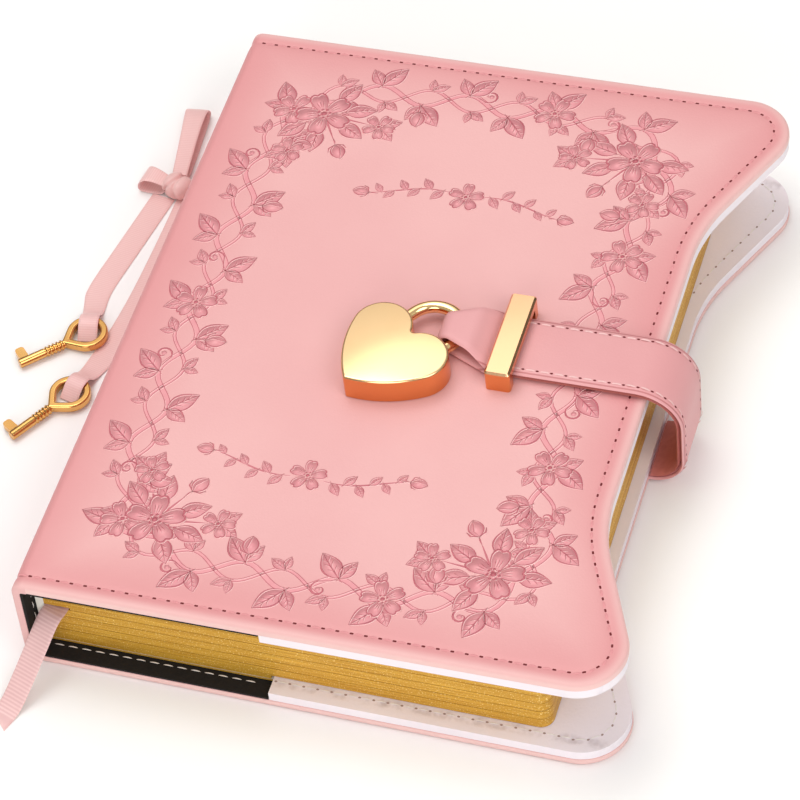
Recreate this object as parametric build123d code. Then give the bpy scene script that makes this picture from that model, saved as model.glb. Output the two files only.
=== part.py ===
from build123d import *
from math import acos, atan2, cos, degrees, hypot, radians, sin
import os

os.makedirs("parts", exist_ok=True)

# A locking diary lying on its back cover. X runs from the spine to the fore edge,
# Y from tail to head, Z up, and the origin is the middle of the back cover's outer face.
# Places along X are given from the spine face unless a comment says otherwise.

# Covers in plan.
COVER_W = 143.0  # spine face to the widest part of the fore edge
COVER_H = 185.0  # tail edge to head edge
WAIST_DEPTH = 14.0  # how far the middle of the fore edge is drawn in
WAIST_R = 44.0  # hollow curve at each end of the waist
FLARE = 24.26  # degrees the fore edge leans outwards beyond that curve
CORNER_R = 11.5  # rounded outer corners

# Thickness of the closed diary and the slope of its front cover.
SPINE_T = 28.0  # outer face to outer face at the spine
TILT = 1.0  # degrees the front cover rises towards the fore edge

# Layers of a cover.
SKIN = 1.0  # leather
LINING_T = 0.6  # black lining
POCKET_GAP = 1.2  # room inside the sewn pocket
POCKET_T = 0.8  # white pocket leather
POCKET_MOUTH = 60.0  # open edge of the pocket
RIM_W = 1.6  # leather turned over the edge of the board
SEAM_W = 3.4  # sewn margin of the pocket
FOLD_W = 1.5  # pocket edge folded down beside the lining
EDGE_SOFT = 0.6  # rounding of the leather edge
BEND_R = 3.0  # outer radius of the leather where it turns into the spine
BEND_LEAST = 0.2  # inner radius that the thickest layers keep in the bend
BOARD_LIFT = 1.0  # spine board starts this far above the bend
SPINE_SHORT = 2.0  # spine leather ends this far under the front bend
CREASE = 4.0  # cover boards stop this far from the spine face

# Clearances.
FIT = 0.2  # between layers laid in each other
LIE = 0.15  # between leaves and between pieces of different bodies
TURN = 0.3  # round a turning or sliding rod, on the radius

# Refill block.
PAGE_SHORT = 5.0  # pages end this far inside the head and tail of the covers
PAGE_BACK = 3.0  # pages end this far inside the waist
PAGE_R = 3.2
SECTIONS = 6
LEAVES = 3
LEAF_T = 0.6
CARD_T = 0.6
CARD_PLAY = 1.4  # between the card and the pocket's seam
CARD_CLEAR = 3.5  # front card starts this far past the bend
GLUE_T = 2.0  # paper spine of the block
GLUE_GAP = 0.3  # between the paper spine and the spine lining

# Bookmark.
MARK_OVER = 4  # sections under the bookmark
MARK_W = 6.0
MARK_T = 0.4
MARK_HEAD = 13.0  # it ends this far inside the head of the pages
MARK_LEAD = 3.0  # straight out of the tail
MARK_OUT = 21.0  # reaches the table this far from the tail of the pages
MARK_FOOT = 2.5  # end lying on the table
MARK_BEND = 4.0
MARK_DRIFT = 20.0  # degrees it leans towards the spine

# Strap and keeper.
STRAP_W = 18.0
STRAP_T = 1.2  # outer ply, and the cover board that its end is let into
STRAP_LINING = 1.0  # inner ply
STRAP_GLUE = 0.05  # between the plies
STRAP_TRIM = 0.2  # inner ply is narrower on each side
STRAP_SEAT = 0.3  # strap lies this far above the cover
STRAP_LEAVE = 0.5  # straight run beyond the waist before the lower bend
STRAP_LOW_R = 8.0
STRAP_TOP_R = 11.0
STRAP_IN = 24.0  # strap end sewn inside the back cover
KEEPER_X = 94.4
KEEPER_W = 6.2
KEEPER_ROOF = 2.3
KEEPER_LEG = 2.8
KEEPER_SIDE = 1.2  # between the strap's edge and a leg
KEEPER_OVER = 1.15  # between the strap and the roof
KEEPER_ROUND = 0.8
KEEPER_BEVEL = 0.5
SCREW_D = 1.8
SCREW_HEAD = 3.4
SCREW_HEAD_T = 0.9
SCREW_BITE = 4.2  # thread inside the keeper's leg
DRIVER_W = 0.5
DRIVER_L = 2.2
DRIVER_T = 0.35
TIP_L = 16.8  # middle of the folded tip, from the keeper's middle
TIP_W = 8.6
TIP_PLAIN = 2.0  # tip keeps its width this far before it widens
TIP_LIFT = 0.4  # between the lower leg of the loop and the padlock's rod
TIP_TAIL = 1.2  # lower leg of the loop ends this far from the keeper
RISE = 1.4  # run of the rising strap for each unit of height
KEEPER_BEND = 5.0
RISE_BEND = 3.5

# Heart padlock.
LOCK_BACK = 10.6  # middle of the heart, from the strap's tip towards the spine
LOCK_Y = -11.5
LOCK_TURN = -35.0  # degrees, heart axis against the head of the diary
LOCK_ROOF = 1.8  # metal over the bores
LOCK_ROUND = 0.6  # edge of the heart's face
HEART_SOFT = 0.8  # rounding of the heart's tip and of the valley between its lobes
LOBE_R = 7.4
LOBE_IN = 0.7  # lobes reach this far across the heart's axis
LOBE_V = 4.3
LOBE_END = 25.0  # degrees below level where a lobe runs into the side
HEART_TIP = 12.8
ROD_D = 3.0
BOW_V = 14.0  # middle of the bow's half ring
BOW_PLAY = 1.2  # between the bow's rod and the strap's tip
LONG_LEG = 2.5  # foot of the long leg
SHORT_LEG = 6.3  # foot of the catching leg
LEG_PLAY = 1.0  # bore beyond the catching leg
NOTCH_UP = 1.2  # catch notch above the foot
NOTCH_W = 1.3
NOTCH_D = 0.8
PLATE_T = 0.9
PLATE_IN = 2.1  # back plate ends this far inside the heart
KEYHOLE_V = -2.2
KEYHOLE_D = 3.2
KEYHOLE_W = 1.2
KEYHOLE_L = 3.6
WARD_D = 6.4  # room for the key's bit
RIVET_D = 1.3
RIVET_L = 3.4
LATCH_T = 0.5
LATCH_H = 2.8
LATCH_OFF = 2.2  # leaf spring, from the catching leg
LATCH_FOOT = -3.8
HOOK_H = 2.0
HOOK_UP = 0.4  # hook above the lower side of the notch
COIL_ROOM = 6.0  # bore under the long leg
COIL_END = 0.45  # coil stops this far from each end of its room
COIL_WIRE = 0.48
COIL_TURNS = 4.5

# Keys and their ribbon on the table beside the spine.
RING_R = 5.2
RING_BAR = 1.8
RING_PEAK = 1.9  # point of the drop-shaped ring beyond its round
RING_T = 2.2
RING_SOFT = 0.5  # rounding of the ring's edges
KEY_L = 18.8  # middle of the ring to the end of the shaft
KEY_D = 2.4
KEY_LIFT = 0.4  # ribbon under the key
BEADS = 5
BEAD_STEP = 1.0
BEAD_RISE = 0.15  # of a bead over the shaft, and of its neck below it
BEAD_FROM = 1.5  # first bead beyond the round of the ring
BIT_W = 2.4
BIT_L = 4.4
BIT_T = 1.4
BIT_END = 0.6
BIT_ROUND = 0.9
RIBBON_W = 6.4
RIBBON_T = 0.45
KNOT_L = 7.6
KNOT_W = 7.0
KNOT_T = 5.4
KNOT_ROUND = 1.6
LOOP_RISE = 4.4  # upper side of a ribbon loop over the table

# Sizes that follow from those above.
BOARD_T = STRAP_T
SPINE_X = -COVER_W / 2
WAIST_W = COVER_W - WAIST_DEPTH
WAIST_X = SPINE_X + WAIST_W
SHELL_T = SKIN + BOARD_T
LINED_T = SHELL_T + LINING_T
STACK_T = LINED_T + POCKET_GAP + POCKET_T
POCKET_X = SPINE_X + POCKET_MOUTH
HINGE_X = SPINE_X + BEND_R / 2
HINGE_Z = SPINE_T - BEND_R / 2
PAGE_X0 = SPINE_X + LINED_T + GLUE_GAP + GLUE_T
PAGE_X1 = WAIST_X - PAGE_BACK
PAGE_H = COVER_H - 2 * PAGE_SHORT
MARK_X = PAGE_X0 + FIT + MARK_W / 2
KEEPER_L = STRAP_W + 2 * (KEEPER_SIDE + KEEPER_LEG)
KEEPER_H = STRAP_SEAT + STRAP_LINING + STRAP_GLUE + STRAP_T + KEEPER_OVER + KEEPER_ROOF
TIP_X = SPINE_X + KEEPER_X - TIP_L
BOW_R = TIP_W / 2 + BOW_PLAY + ROD_D / 2
ROD_H = STRAP_SEAT + STRAP_T + TIP_LIFT + ROD_D / 2
LOCK_T = ROD_H + ROD_D / 2 + TURN + LOCK_ROOF - FIT
FRONT = Pos(HINGE_X, 0, HINGE_Z) * Rot(0, -TILT, 0) * Pos(-HINGE_X, 0, -HINGE_Z)
UP = (0, 0, 1)
HALF_TURN = 1 - cos(radians(45))


def save(shape, name):
    export_step(shape, "parts/" + name + ".step")


def front_point(x, z):
    """Where a point of the untilted front cover's side view ends up."""
    dx = x - HINGE_X
    dz = z - HINGE_Z
    a = radians(TILT)
    return (HINGE_X + dx * cos(a) - dz * sin(a), HINGE_Z + dx * sin(a) + dz * cos(a))


def outline(x_from, inset):
    """Plan of a cover from x_from to its waisted fore edge, drawn in by inset."""
    h = COVER_H / 2 - inset
    corner = CORNER_R - inset
    hollow = WAIST_R + inset
    waist = WAIST_X - inset
    a = radians(FLARE)
    slant = (WAIST_DEPTH - (WAIST_R + CORNER_R) * (1 - cos(a))) / sin(a)
    cx = SPINE_X + COVER_W - CORNER_R
    cy = COVER_H / 2 - CORNER_R
    hx = WAIST_X + WAIST_R
    hy = cy - (WAIST_R + CORNER_R) * sin(a) - slant * cos(a)
    turn = (radians(90) - a) / 2
    edges = [Line((waist, -hy), (waist, hy)), Line((x_from, h), (x_from, -h))]
    for side in (-1, 1):
        in_end = (hx - hollow * cos(a), side * (hy + hollow * sin(a)))
        out_end = (cx + corner * cos(a), side * (cy - corner * sin(a)))
        mid_in = (hx - hollow * cos(a / 2), side * (hy + hollow * sin(a / 2)))
        mid_out = (cx + corner * cos(turn), side * (cy + corner * sin(turn)))
        edges.append(ThreePointArc((waist, side * hy), mid_in, in_end))
        edges.append(Line(in_end, out_end))
        edges.append(ThreePointArc(out_end, mid_out, (cx, side * h)))
        edges.append(Line((cx, side * h), (x_from, side * h)))
    return make_face(edges)


def slab(x_from, inset, z0, z1):
    return Pos(0, 0, z0) * extrude(outline(x_from, inset), z1 - z0, dir=UP)


def box(x0, x1, y0, y1, z0, z1):
    return Pos((x0 + x1) / 2, (y0 + y1) / 2, (z0 + z1) / 2) * Box(x1 - x0, y1 - y0, z1 - z0)


def side_prism(face, width):
    """Side-view face drawn in X and Z, given a width along Y."""
    return Pos(0, width / 2, 0) * Rot(90, 0, 0) * extrude(face, width, dir=UP)


def rod(x, y, z0, z1, d):
    return Pos(x, y, (z0 + z1) / 2) * Cylinder(d / 2, z1 - z0)


def band(points, radii, width, thick):
    """Flat strap swept along a side-view path with tangent bends."""
    path = FilletPolyline(*[(x, 0, z) for x, z in points], radius=radii)
    start = Plane(origin=path @ 0, x_dir=(0, 1, 0), z_dir=path % 0)
    return sweep(start * Rectangle(width, thick), path=path)


def page_plan(x0, x1, height):
    h = height / 2
    k = PAGE_R * HALF_TURN
    edges = [
        Line((x0, h), (x0, -h)),
        Line((x0, -h), (x1 - PAGE_R, -h)),
        ThreePointArc((x1 - PAGE_R, -h), (x1 - k, -h + k), (x1, -h + PAGE_R)),
        Line((x1, -h + PAGE_R), (x1, h - PAGE_R)),
        ThreePointArc((x1, h - PAGE_R), (x1 - k, h - k), (x1 - PAGE_R, h)),
        Line((x1 - PAGE_R, h), (x0, h)),
    ]
    return make_face(edges)


# Back cover: a leather tray, a board in it, the lining and the sewn pocket.
board_from = SPINE_X + CREASE
slot_half = STRAP_W / 2 + FIT
past = SPINE_T  # cutters run this far past what they cut


def leather_tray(z_face, z_rim):
    """Leather of a cover: a face at z_face with its edge turned over as far as z_rim."""
    way = 1 if z_rim > z_face else -1
    body = slab(board_from, 0, min(z_face, z_rim), max(z_face, z_rim))
    edge = body.edges().filter_by(Plane.XY).group_by(Axis.Z)[0 if way > 0 else -1]
    edge = edge.filter_by(lambda e: e.bounding_box().max.X > board_from + RIM_W)
    body = fillet(edge, EDGE_SOFT)
    inner = z_face + way * SKIN
    return body - slab(board_from + RIM_W, RIM_W, min(inner, z_rim), max(inner, z_rim))


def lining(z_shell, way):
    """Black lining, cut back where the pocket's edge is folded down beside it."""
    z0, z1 = sorted((z_shell, z_shell + way * LINING_T))
    bare = slab(board_from, FIT, z0, z1) - slab(POCKET_X - FIT, -past, z0, z1)
    return bare + slab(board_from, 2 * FIT + FOLD_W, z0, z1)


def pocket(z_shell, way):
    """White flap folded and sewn round three sides, open towards the spine."""
    seat = z_shell + way * LINING_T
    gap_end = seat + way * POCKET_GAP
    top = gap_end + way * POCKET_T
    body = slab(POCKET_X, FIT, min(z_shell, top), max(z_shell, top))
    under = slab(POCKET_X - SEAM_W, FIT + FOLD_W, min(z_shell, seat), max(z_shell, seat))
    room = slab(POCKET_X - SEAM_W, FIT + SEAM_W, min(seat, gap_end), max(seat, gap_end))
    return body - under - room


strap_base_x = WAIST_X - STRAP_IN
back_slot = box(strap_base_x - FIT, WAIST_X + past, -slot_half, slot_half, SKIN, SHELL_T)
save(leather_tray(0, SHELL_T) - back_slot, "back_cover")
board_inset = RIM_W + FIT
back_board = slab(board_from + board_inset, board_inset, SKIN, SHELL_T) - back_slot
save(back_board, "back_board")
save(lining(SHELL_T, 1), "back_lining")
save(pocket(SHELL_T, 1), "back_pocket")

# Spine: leather with turned ends, its board and its lining, bent up from the back cover.
end_z = SPINE_T - BEND_R - SPINE_SHORT


def bend_profile(outer, inner, z_end, x_end):
    """Side view of a layer that runs along the back, round the bend and up the spine."""
    ro = max(BEND_R - outer, BEND_LEAST)
    ri = max(BEND_R - inner, BEND_LEAST)
    ko = ro * HALF_TURN
    ki = ri * HALF_TURN
    x0, x1 = SPINE_X + outer, SPINE_X + inner
    edges = [
        Line((x_end, outer), (x0 + ro, outer)),
        ThreePointArc((x0 + ro, outer), (x0 + ko, outer + ko), (x0, outer + ro)),
        Line((x0, outer + ro), (x0, z_end)),
        Line((x0, z_end), (x1, z_end)),
        Line((x1, z_end), (x1, inner + ri)),
        ThreePointArc((x1, inner + ri), (x1 + ki, inner + ki), (x1 + ri, inner)),
        Line((x1 + ri, inner), (x_end, inner)),
        Line((x_end, inner), (x_end, outer)),
    ]
    return make_face(edges)


spine_skin = side_prism(bend_profile(0, SHELL_T, end_z, board_from), COVER_H)
board_half = COVER_H / 2 - RIM_W
board_z0 = BEND_R + BOARD_LIFT
board_z1 = end_z - RIM_W
spine_room = box(
    SPINE_X + SKIN, SPINE_X + SHELL_T, -board_half, board_half, board_z0, board_z1
)
save(spine_skin - spine_room, "spine_cover")
spine_board = box(
    SPINE_X + SKIN, SPINE_X + SHELL_T, FIT - board_half, board_half - FIT,
    board_z0 + FIT, board_z1 - FIT,
)
save(spine_board, "spine_board")
lining_bend = bend_profile(SHELL_T, LINED_T, end_z, board_from)
save(side_prism(lining_bend, COVER_H - 2 * FIT), "spine_lining")


def crease_profile(outer, inner):
    """Side view of a layer over the front bend, from the spine to the front cover."""
    ro = max(BEND_R - outer, BEND_LEAST)
    ri = max(BEND_R - inner, BEND_LEAST)
    ko = ro * HALF_TURN
    ki = ri * HALF_TURN
    x0, x1 = SPINE_X + outer, SPINE_X + inner
    z0, z1 = SPINE_T - outer, SPINE_T - inner
    x_end = board_from - LIE
    edges = [
        Line((x0, end_z), (x0, z0 - ro)),
        ThreePointArc((x0, z0 - ro), (x0 + ko, z0 - ko), (x0 + ro, z0)),
        Line((x0 + ro, z0), (x_end, z0)),
        Line((x_end, z0), (x_end, z1)),
        Line((x_end, z1), (x1 + ri, z1)),
        ThreePointArc((x1 + ri, z1), (x1 + ki, z1 - ki), (x1, z1 - ri)),
        Line((x1, z1 - ri), (x1, end_z)),
        Line((x1, end_z), (x0, end_z)),
    ]
    return make_face(edges)


save(side_prism(crease_profile(0, SHELL_T), COVER_H), "front_crease")
save(side_prism(crease_profile(SHELL_T, LINED_T), COVER_H - 2 * FIT), "crease_lining")

# Front cover, built flat under the face at SPINE_T and then tilted about its bend.
leg_y = (KEEPER_L - KEEPER_LEG) / 2
keeper_x = SPINE_X + KEEPER_X
screw_at = [(keeper_x, -leg_y), (keeper_x, leg_y)]
front_face = SPINE_T - SKIN
front_shell = SPINE_T - SHELL_T
front_lined = SPINE_T - LINED_T
front_cover = leather_tray(SPINE_T, front_shell)
front_board = slab(board_from + board_inset, board_inset, front_shell, front_face)
for sx, sy in screw_at:
    front_cover -= rod(sx, sy, front_shell, SPINE_T + past, SCREW_D + 2 * FIT)
    front_board -= rod(sx, sy, front_shell - past, SPINE_T, SCREW_HEAD + 2 * FIT)
save(FRONT * front_cover, "front_cover")
save(FRONT * front_board, "front_board")
save(FRONT * lining(front_shell, -1), "front_lining")
save(FRONT * pocket(front_shell, -1), "front_pocket")

# Keeper bridge over the strap, screwed on from inside the cover.
keeper_block = Pos(keeper_x, 0, SPINE_T + KEEPER_H / 2) * Box(KEEPER_W, KEEPER_L, KEEPER_H)
keeper_block = fillet(keeper_block.edges().filter_by(Axis.Z), KEEPER_ROUND)
keeper_block = chamfer(keeper_block.faces().sort_by(Axis.Z)[-1].edges(), KEEPER_BEVEL)
arch_half = KEEPER_L / 2 - KEEPER_LEG
arch_top = SPINE_T + KEEPER_H - KEEPER_ROOF
keeper = keeper_block - box(
    keeper_x - KEEPER_W, keeper_x + KEEPER_W, -arch_half, arch_half, SPINE_T - past, arch_top
)
screws = []
head_z = front_face - SCREW_HEAD_T
for sx, sy in screw_at:
    keeper -= rod(sx, sy, SPINE_T - past, SPINE_T + SCREW_BITE + FIT, SCREW_D + FIT)
    shank = rod(sx, sy, head_z + DRIVER_T, SPINE_T + SCREW_BITE, SCREW_D)
    head = rod(sx, sy, head_z, front_face, SCREW_HEAD)
    driver = Pos(sx, sy, head_z) * Box(DRIVER_L, DRIVER_W, 2 * DRIVER_T)
    screws.append(FRONT * (shank + head - driver))
save(FRONT * keeper, "keeper")
save(Compound(children=screws), "keeper_screws")

# Refill block: card covers that slip into the pockets, glued spine, sections and leaves.
page_half = PAGE_H / 2
card_end = WAIST_X - FIT - SEAM_W - CARD_PLAY
card_h = COVER_H - 2 * (FIT + SEAM_W + CARD_PLAY)
card_z = LINED_T + FIT
page_z0 = STACK_T + FIT
leaf_pitch = LEAF_T + LIE
leaf_top = SPINE_T - STACK_T - FIT
block_top = leaf_top - LEAVES * leaf_pitch
card_plan = page_plan(PAGE_X0, card_end, card_h)
save(Pos(0, 0, card_z) * extrude(card_plan, CARD_T, dir=UP), "back_card")
front_card_plan = page_plan(SPINE_X + BEND_R + CARD_CLEAR, card_end, card_h)
front_card = Pos(0, 0, front_lined - FIT - CARD_T) * extrude(front_card_plan, CARD_T, dir=UP)
save(FRONT * front_card, "front_card")


def section_z(x, share):
    """Height of a share of the block at x, between the flat back and the tilted front."""
    top = front_point(x, block_top)[1] - LIE
    return page_z0 + share * (top - page_z0)


spine_z1 = section_z(PAGE_X0, 1.0)
save(box(PAGE_X0 - GLUE_T, PAGE_X0, -page_half, page_half, card_z, spine_z1), "block_spine")

page_prism = extrude(page_plan(PAGE_X0, PAGE_X1, PAGE_H), SPINE_T * 2, dir=UP)
mark_room = MARK_T + 2 * LIE
mark_edge = MARK_X + MARK_W / 2
for i in range(SECTIONS):
    low, high = i / SECTIONS, (i + 1) / SECTIONS
    lift = LIE if i else 0.0
    near = PAGE_X0 - past
    far = PAGE_X1 + past
    corners = [
        (near, section_z(near, low) + lift),
        (far, section_z(far, low) + lift),
        (far, section_z(far, high)),
        (near, section_z(near, high)),
    ]
    wedge = side_prism(make_face(Polyline(*corners, close=True)), COVER_H)
    section = page_prism & wedge
    if i == 0:
        section += box(
            PAGE_X0, POCKET_X - 4 * FIT, -page_half, page_half, card_z + CARD_T + LIE,
            (page_z0 + section_z(PAGE_X0, high)) / 2,
        )
    if i == MARK_OVER:
        z = section_z(mark_edge, low) + LIE
        half = MARK_W / 2 + FIT
        section -= box(
            MARK_X - half, MARK_X + half, -COVER_H, page_half - MARK_HEAD + FIT,
            z - MARK_T, z + mark_room,
        )
    save(section, "page_section_" + str(i + 1))

for i in range(LEAVES):
    z = leaf_top - i * leaf_pitch - LEAF_T
    leaf_plan = page_plan(PAGE_X0 + 2 * FIT, PAGE_X1, PAGE_H)
    save(FRONT * Pos(0, 0, z) * extrude(leaf_plan, LEAF_T, dir=UP), "leaf_" + str(i + 1))

# Bookmark: flat on its section, out at the tail and down to the table.
mark_z = section_z(mark_edge, MARK_OVER / SECTIONS) + LIE + MARK_T / 2
mark_in = box(
    MARK_X - MARK_W / 2, MARK_X + MARK_W / 2, -page_half, page_half - MARK_HEAD,
    mark_z - MARK_T / 2, mark_z + MARK_T / 2,
)
mark_path = [
    (-MARK_LEAD, mark_z),
    (MARK_LEAD, mark_z),
    (MARK_OUT, MARK_T / 2),
    (MARK_OUT + MARK_FOOT, MARK_T / 2),
]
mark_fall = Rot(0, 0, 270 - MARK_DRIFT) * band(mark_path, [MARK_BEND, MARK_BEND], MARK_W, MARK_T)
mark_fall = Pos(MARK_X, -page_half, 0) * mark_fall
mark_clear = box(MARK_X - past, MARK_X + past, -page_half, page_half, -past, SPINE_T)
save(mark_in + (mark_fall - mark_clear), "bookmark_ribbon")

# Strap: sewn inside the back cover, round the fore edge, under the keeper, tip folded to a loop.
out_x = WAIST_X + STRAP_LEAVE + STRAP_LOW_R
base_z = SKIN + STRAP_T / 2
run_h = STRAP_SEAT + STRAP_LINING + STRAP_GLUE + STRAP_T / 2
loop_low = STRAP_SEAT + STRAP_T / 2
loop_high = 2 * ROD_H - loop_low
keeper_left = keeper_x - KEEPER_W / 2
rise_x = keeper_left - (loop_high - run_h) * RISE


def over(x, h):
    """Point at height h over the tilted front cover."""
    return front_point(x, SPINE_T + h)


outer_path = [
    (strap_base_x, base_z),
    (out_x, base_z),
    (out_x, over(out_x, run_h)[1]),
    over(keeper_left, run_h),
    over(rise_x, loop_high),
    over(TIP_X, loop_high),
    over(TIP_X, loop_low),
    over(keeper_left - TIP_TAIL, loop_low),
]
fold_r = (loop_high - loop_low) / 2 * 0.98
bends = [STRAP_LOW_R, STRAP_TOP_R, KEEPER_BEND, RISE_BEND, fold_r, fold_r]
strap = band(outer_path, bends, STRAP_W, STRAP_T)
taper_x = keeper_left - TIP_TAIL
tip_half = TIP_W / 2
strap_half = STRAP_W / 2
tip_plan = [
    (TIP_X - past, -tip_half),
    (TIP_X + TIP_PLAIN, -tip_half),
    (taper_x, -strap_half),
    (out_x + past, -strap_half),
    (out_x + past, strap_half),
    (taper_x, strap_half),
    (TIP_X + TIP_PLAIN, tip_half),
    (TIP_X - past, tip_half),
]
tip_cut = extrude(make_face(Polyline(*tip_plan, close=True)), SPINE_T * 3, dir=UP)
save(strap & (Pos(0, 0, -SPINE_T) * tip_cut), "strap")
ply = (STRAP_T + STRAP_LINING) / 2 + STRAP_GLUE
lining_x = out_x - ply
lining_path = [
    (WAIST_X + 2 * FIT, base_z + ply),
    (lining_x, base_z + ply),
    (lining_x, over(lining_x, run_h - ply)[1]),
    over(keeper_left - TIP_TAIL / 2, run_h - ply),
]
lining_r = [STRAP_LOW_R - ply, STRAP_TOP_R - ply]
save(band(lining_path, lining_r, STRAP_W - 2 * STRAP_TRIM, STRAP_LINING), "strap_lining")

# Padlock: heart case with bored lobes, back plate, rivets, springs and a rod shackle.
lock_place = FRONT * Pos(TIP_X - LOCK_BACK, LOCK_Y, SPINE_T) * Rot(0, 0, LOCK_TURN)
case_z0 = FIT
lobe_u = LOBE_R - LOBE_IN


def heart(k):
    """Heart outline k times the case: round lobes and bowed sides that meet at a tip."""
    a = radians(-LOBE_END)
    across, down = cos(a), sin(a)
    joint = (lobe_u + LOBE_R * across, LOBE_V + LOBE_R * down)
    to_joint = (joint[0], joint[1] + HEART_TIP)
    reach = to_joint[0] ** 2 + to_joint[1] ** 2
    side_r = reach / (2 * (to_joint[0] * across + to_joint[1] * down))
    centre = (joint[0] - side_r * across, joint[1] - side_r * down)
    a_tip = atan2(-HEART_TIP - centre[1], -centre[0])
    mid = (a + a_tip) / 2
    belly = (centre[0] + side_r * cos(mid), centre[1] + side_r * sin(mid))
    valley = (0, LOBE_V + (LOBE_R**2 - lobe_u**2) ** 0.5)
    crown = (lobe_u, LOBE_V + LOBE_R)
    tip = (0, -HEART_TIP)
    edges = []
    for side in (1, -1):
        for run in ((valley, crown, joint), (joint, belly, tip)):
            edges.append(ThreePointArc(*[(side * u * k, v * k) for u, v in run]))
    return make_face(edges)


def heart_inset(inset):
    """Share of the heart that leaves about this much all round."""
    return 1 - inset / (lobe_u + LOBE_R)


bore_d = ROD_D + 2 * TURN
case = extrude(heart(1.0), LOCK_T, dir=UP)
upright = case.edges().filter_by(Axis.Z)
case = fillet(upright.filter_by(lambda e: abs(e.center().X) < LOBE_IN), HEART_SOFT)
case = fillet(case.faces().sort_by(Axis.Z)[-1].edges(), LOCK_ROUND)
case = Pos(0, 0, case_z0) * case
plate_room = extrude(heart(heart_inset(PLATE_IN - FIT)), PLATE_T + 2 * LIE, dir=UP)
case -= Pos(0, 0, case_z0 - LIE) * plate_room


def bore(u, v0, v1, d):
    return Pos(u, (v0 + v1) / 2, ROD_H) * Rot(90, 0, 0) * Cylinder(d / 2, v1 - v0)


coil_v0 = LONG_LEG - COIL_ROOM
notch_v = SHORT_LEG + NOTCH_UP
latch_u = BOW_R - ROD_D / 2 - LATCH_OFF
latch_top = notch_v + HOOK_UP + LATCH_T
room_z1 = ROD_H + LATCH_H / 2 + FIT
catch_u = BOW_R - ROD_D / 2
case -= bore(-BOW_R, coil_v0, BOW_V, bore_d)
case -= bore(BOW_R, SHORT_LEG - LEG_PLAY, BOW_V, bore_d)
case -= box(
    latch_u - LATCH_T - FIT, catch_u, LATCH_FOOT - FIT, latch_top + FIT, case_z0 + PLATE_T, room_z1
)
case -= rod(0, KEYHOLE_V, case_z0 + PLATE_T, room_z1, WARD_D)
plate = Pos(0, 0, case_z0) * extrude(heart(heart_inset(PLATE_IN)), PLATE_T, dir=UP)
plate -= rod(0, KEYHOLE_V, -past, past, KEYHOLE_D)
plate -= box(-KEYHOLE_W / 2, KEYHOLE_W / 2, KEYHOLE_V - KEYHOLE_L, KEYHOLE_V, -past, past)
RIVET_AT = [(-5.6, -3.8), (4.6, -6.0)]
rivets = []
for u, v in RIVET_AT:
    case -= rod(u, v, case_z0 - past, case_z0 + RIVET_L + FIT, RIVET_D + FIT)
    plate -= rod(u, v, -past, past, RIVET_D + FIT)
    rivets.append(lock_place * rod(u, v, case_z0 + LIE / 3, case_z0 + RIVET_L, RIVET_D))
save(lock_place * case, "lock_case")
save(lock_place * plate, "lock_plate")
save(Compound(children=rivets), "lock_rivets")

bow_start = (-BOW_R, BOW_V, ROD_H)
bow_end = (BOW_R, BOW_V, ROD_H)
bow_path = (
    Line((-BOW_R, LONG_LEG, ROD_H), bow_start)
    + ThreePointArc(bow_start, (0, BOW_V + BOW_R, ROD_H), bow_end)
    + Line(bow_end, (BOW_R, SHORT_LEG, ROD_H))
)
bow_foot = Plane(origin=(-BOW_R, LONG_LEG, ROD_H), z_dir=(0, 1, 0))
shackle = sweep(bow_foot * Circle(ROD_D / 2), path=bow_path)
shackle -= box(catch_u - ROD_D, catch_u + NOTCH_D, notch_v, notch_v + NOTCH_W, 0, 2 * ROD_H)
save(lock_place * shackle, "shackle")

latch_half = LATCH_H / 2
leaf_bar = box(
    latch_u - LATCH_T / 2, latch_u + LATCH_T / 2, LATCH_FOOT, latch_top,
    ROD_H - latch_half, ROD_H + latch_half,
)
leaf_hook = box(
    latch_u, catch_u + NOTCH_D - FIT, latch_top - LATCH_T, latch_top,
    ROD_H - HOOK_H / 2, ROD_H + HOOK_H / 2,
)
save(lock_place * (leaf_bar + leaf_hook), "latch_spring")
coil_l = COIL_ROOM - 2 * COIL_END
coil_r = ROD_D / 2 - COIL_END
coil = Helix(pitch=coil_l / COIL_TURNS, height=coil_l, radius=coil_r)
coil_start = Plane(origin=coil @ 0, z_dir=coil % 0)
coil_body = sweep(coil_start * RegularPolygon(COIL_WIRE / 2, 6), path=coil, is_frenet=True)
coil_body = Pos(-BOW_R, coil_v0 + COIL_END, ROD_H) * Rot(-90, 0, 0) * coil_body
save(lock_place * coil_body, "shackle_spring")

# Keys: a drop-shaped ring, turned beads, a shaft and a flag bit, lying on the table.
key_z = KEY_D / 2 + KEY_LIFT
ring_in = RING_R - RING_BAR


def drop(r, reach):
    """Round of radius r drawn out to a point at reach."""
    a = acos(r / reach)
    touch = (r * cos(a), r * sin(a))
    return Circle(r) + make_face(Polyline((reach, 0), touch, (touch[0], -touch[1]), close=True))


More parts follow.
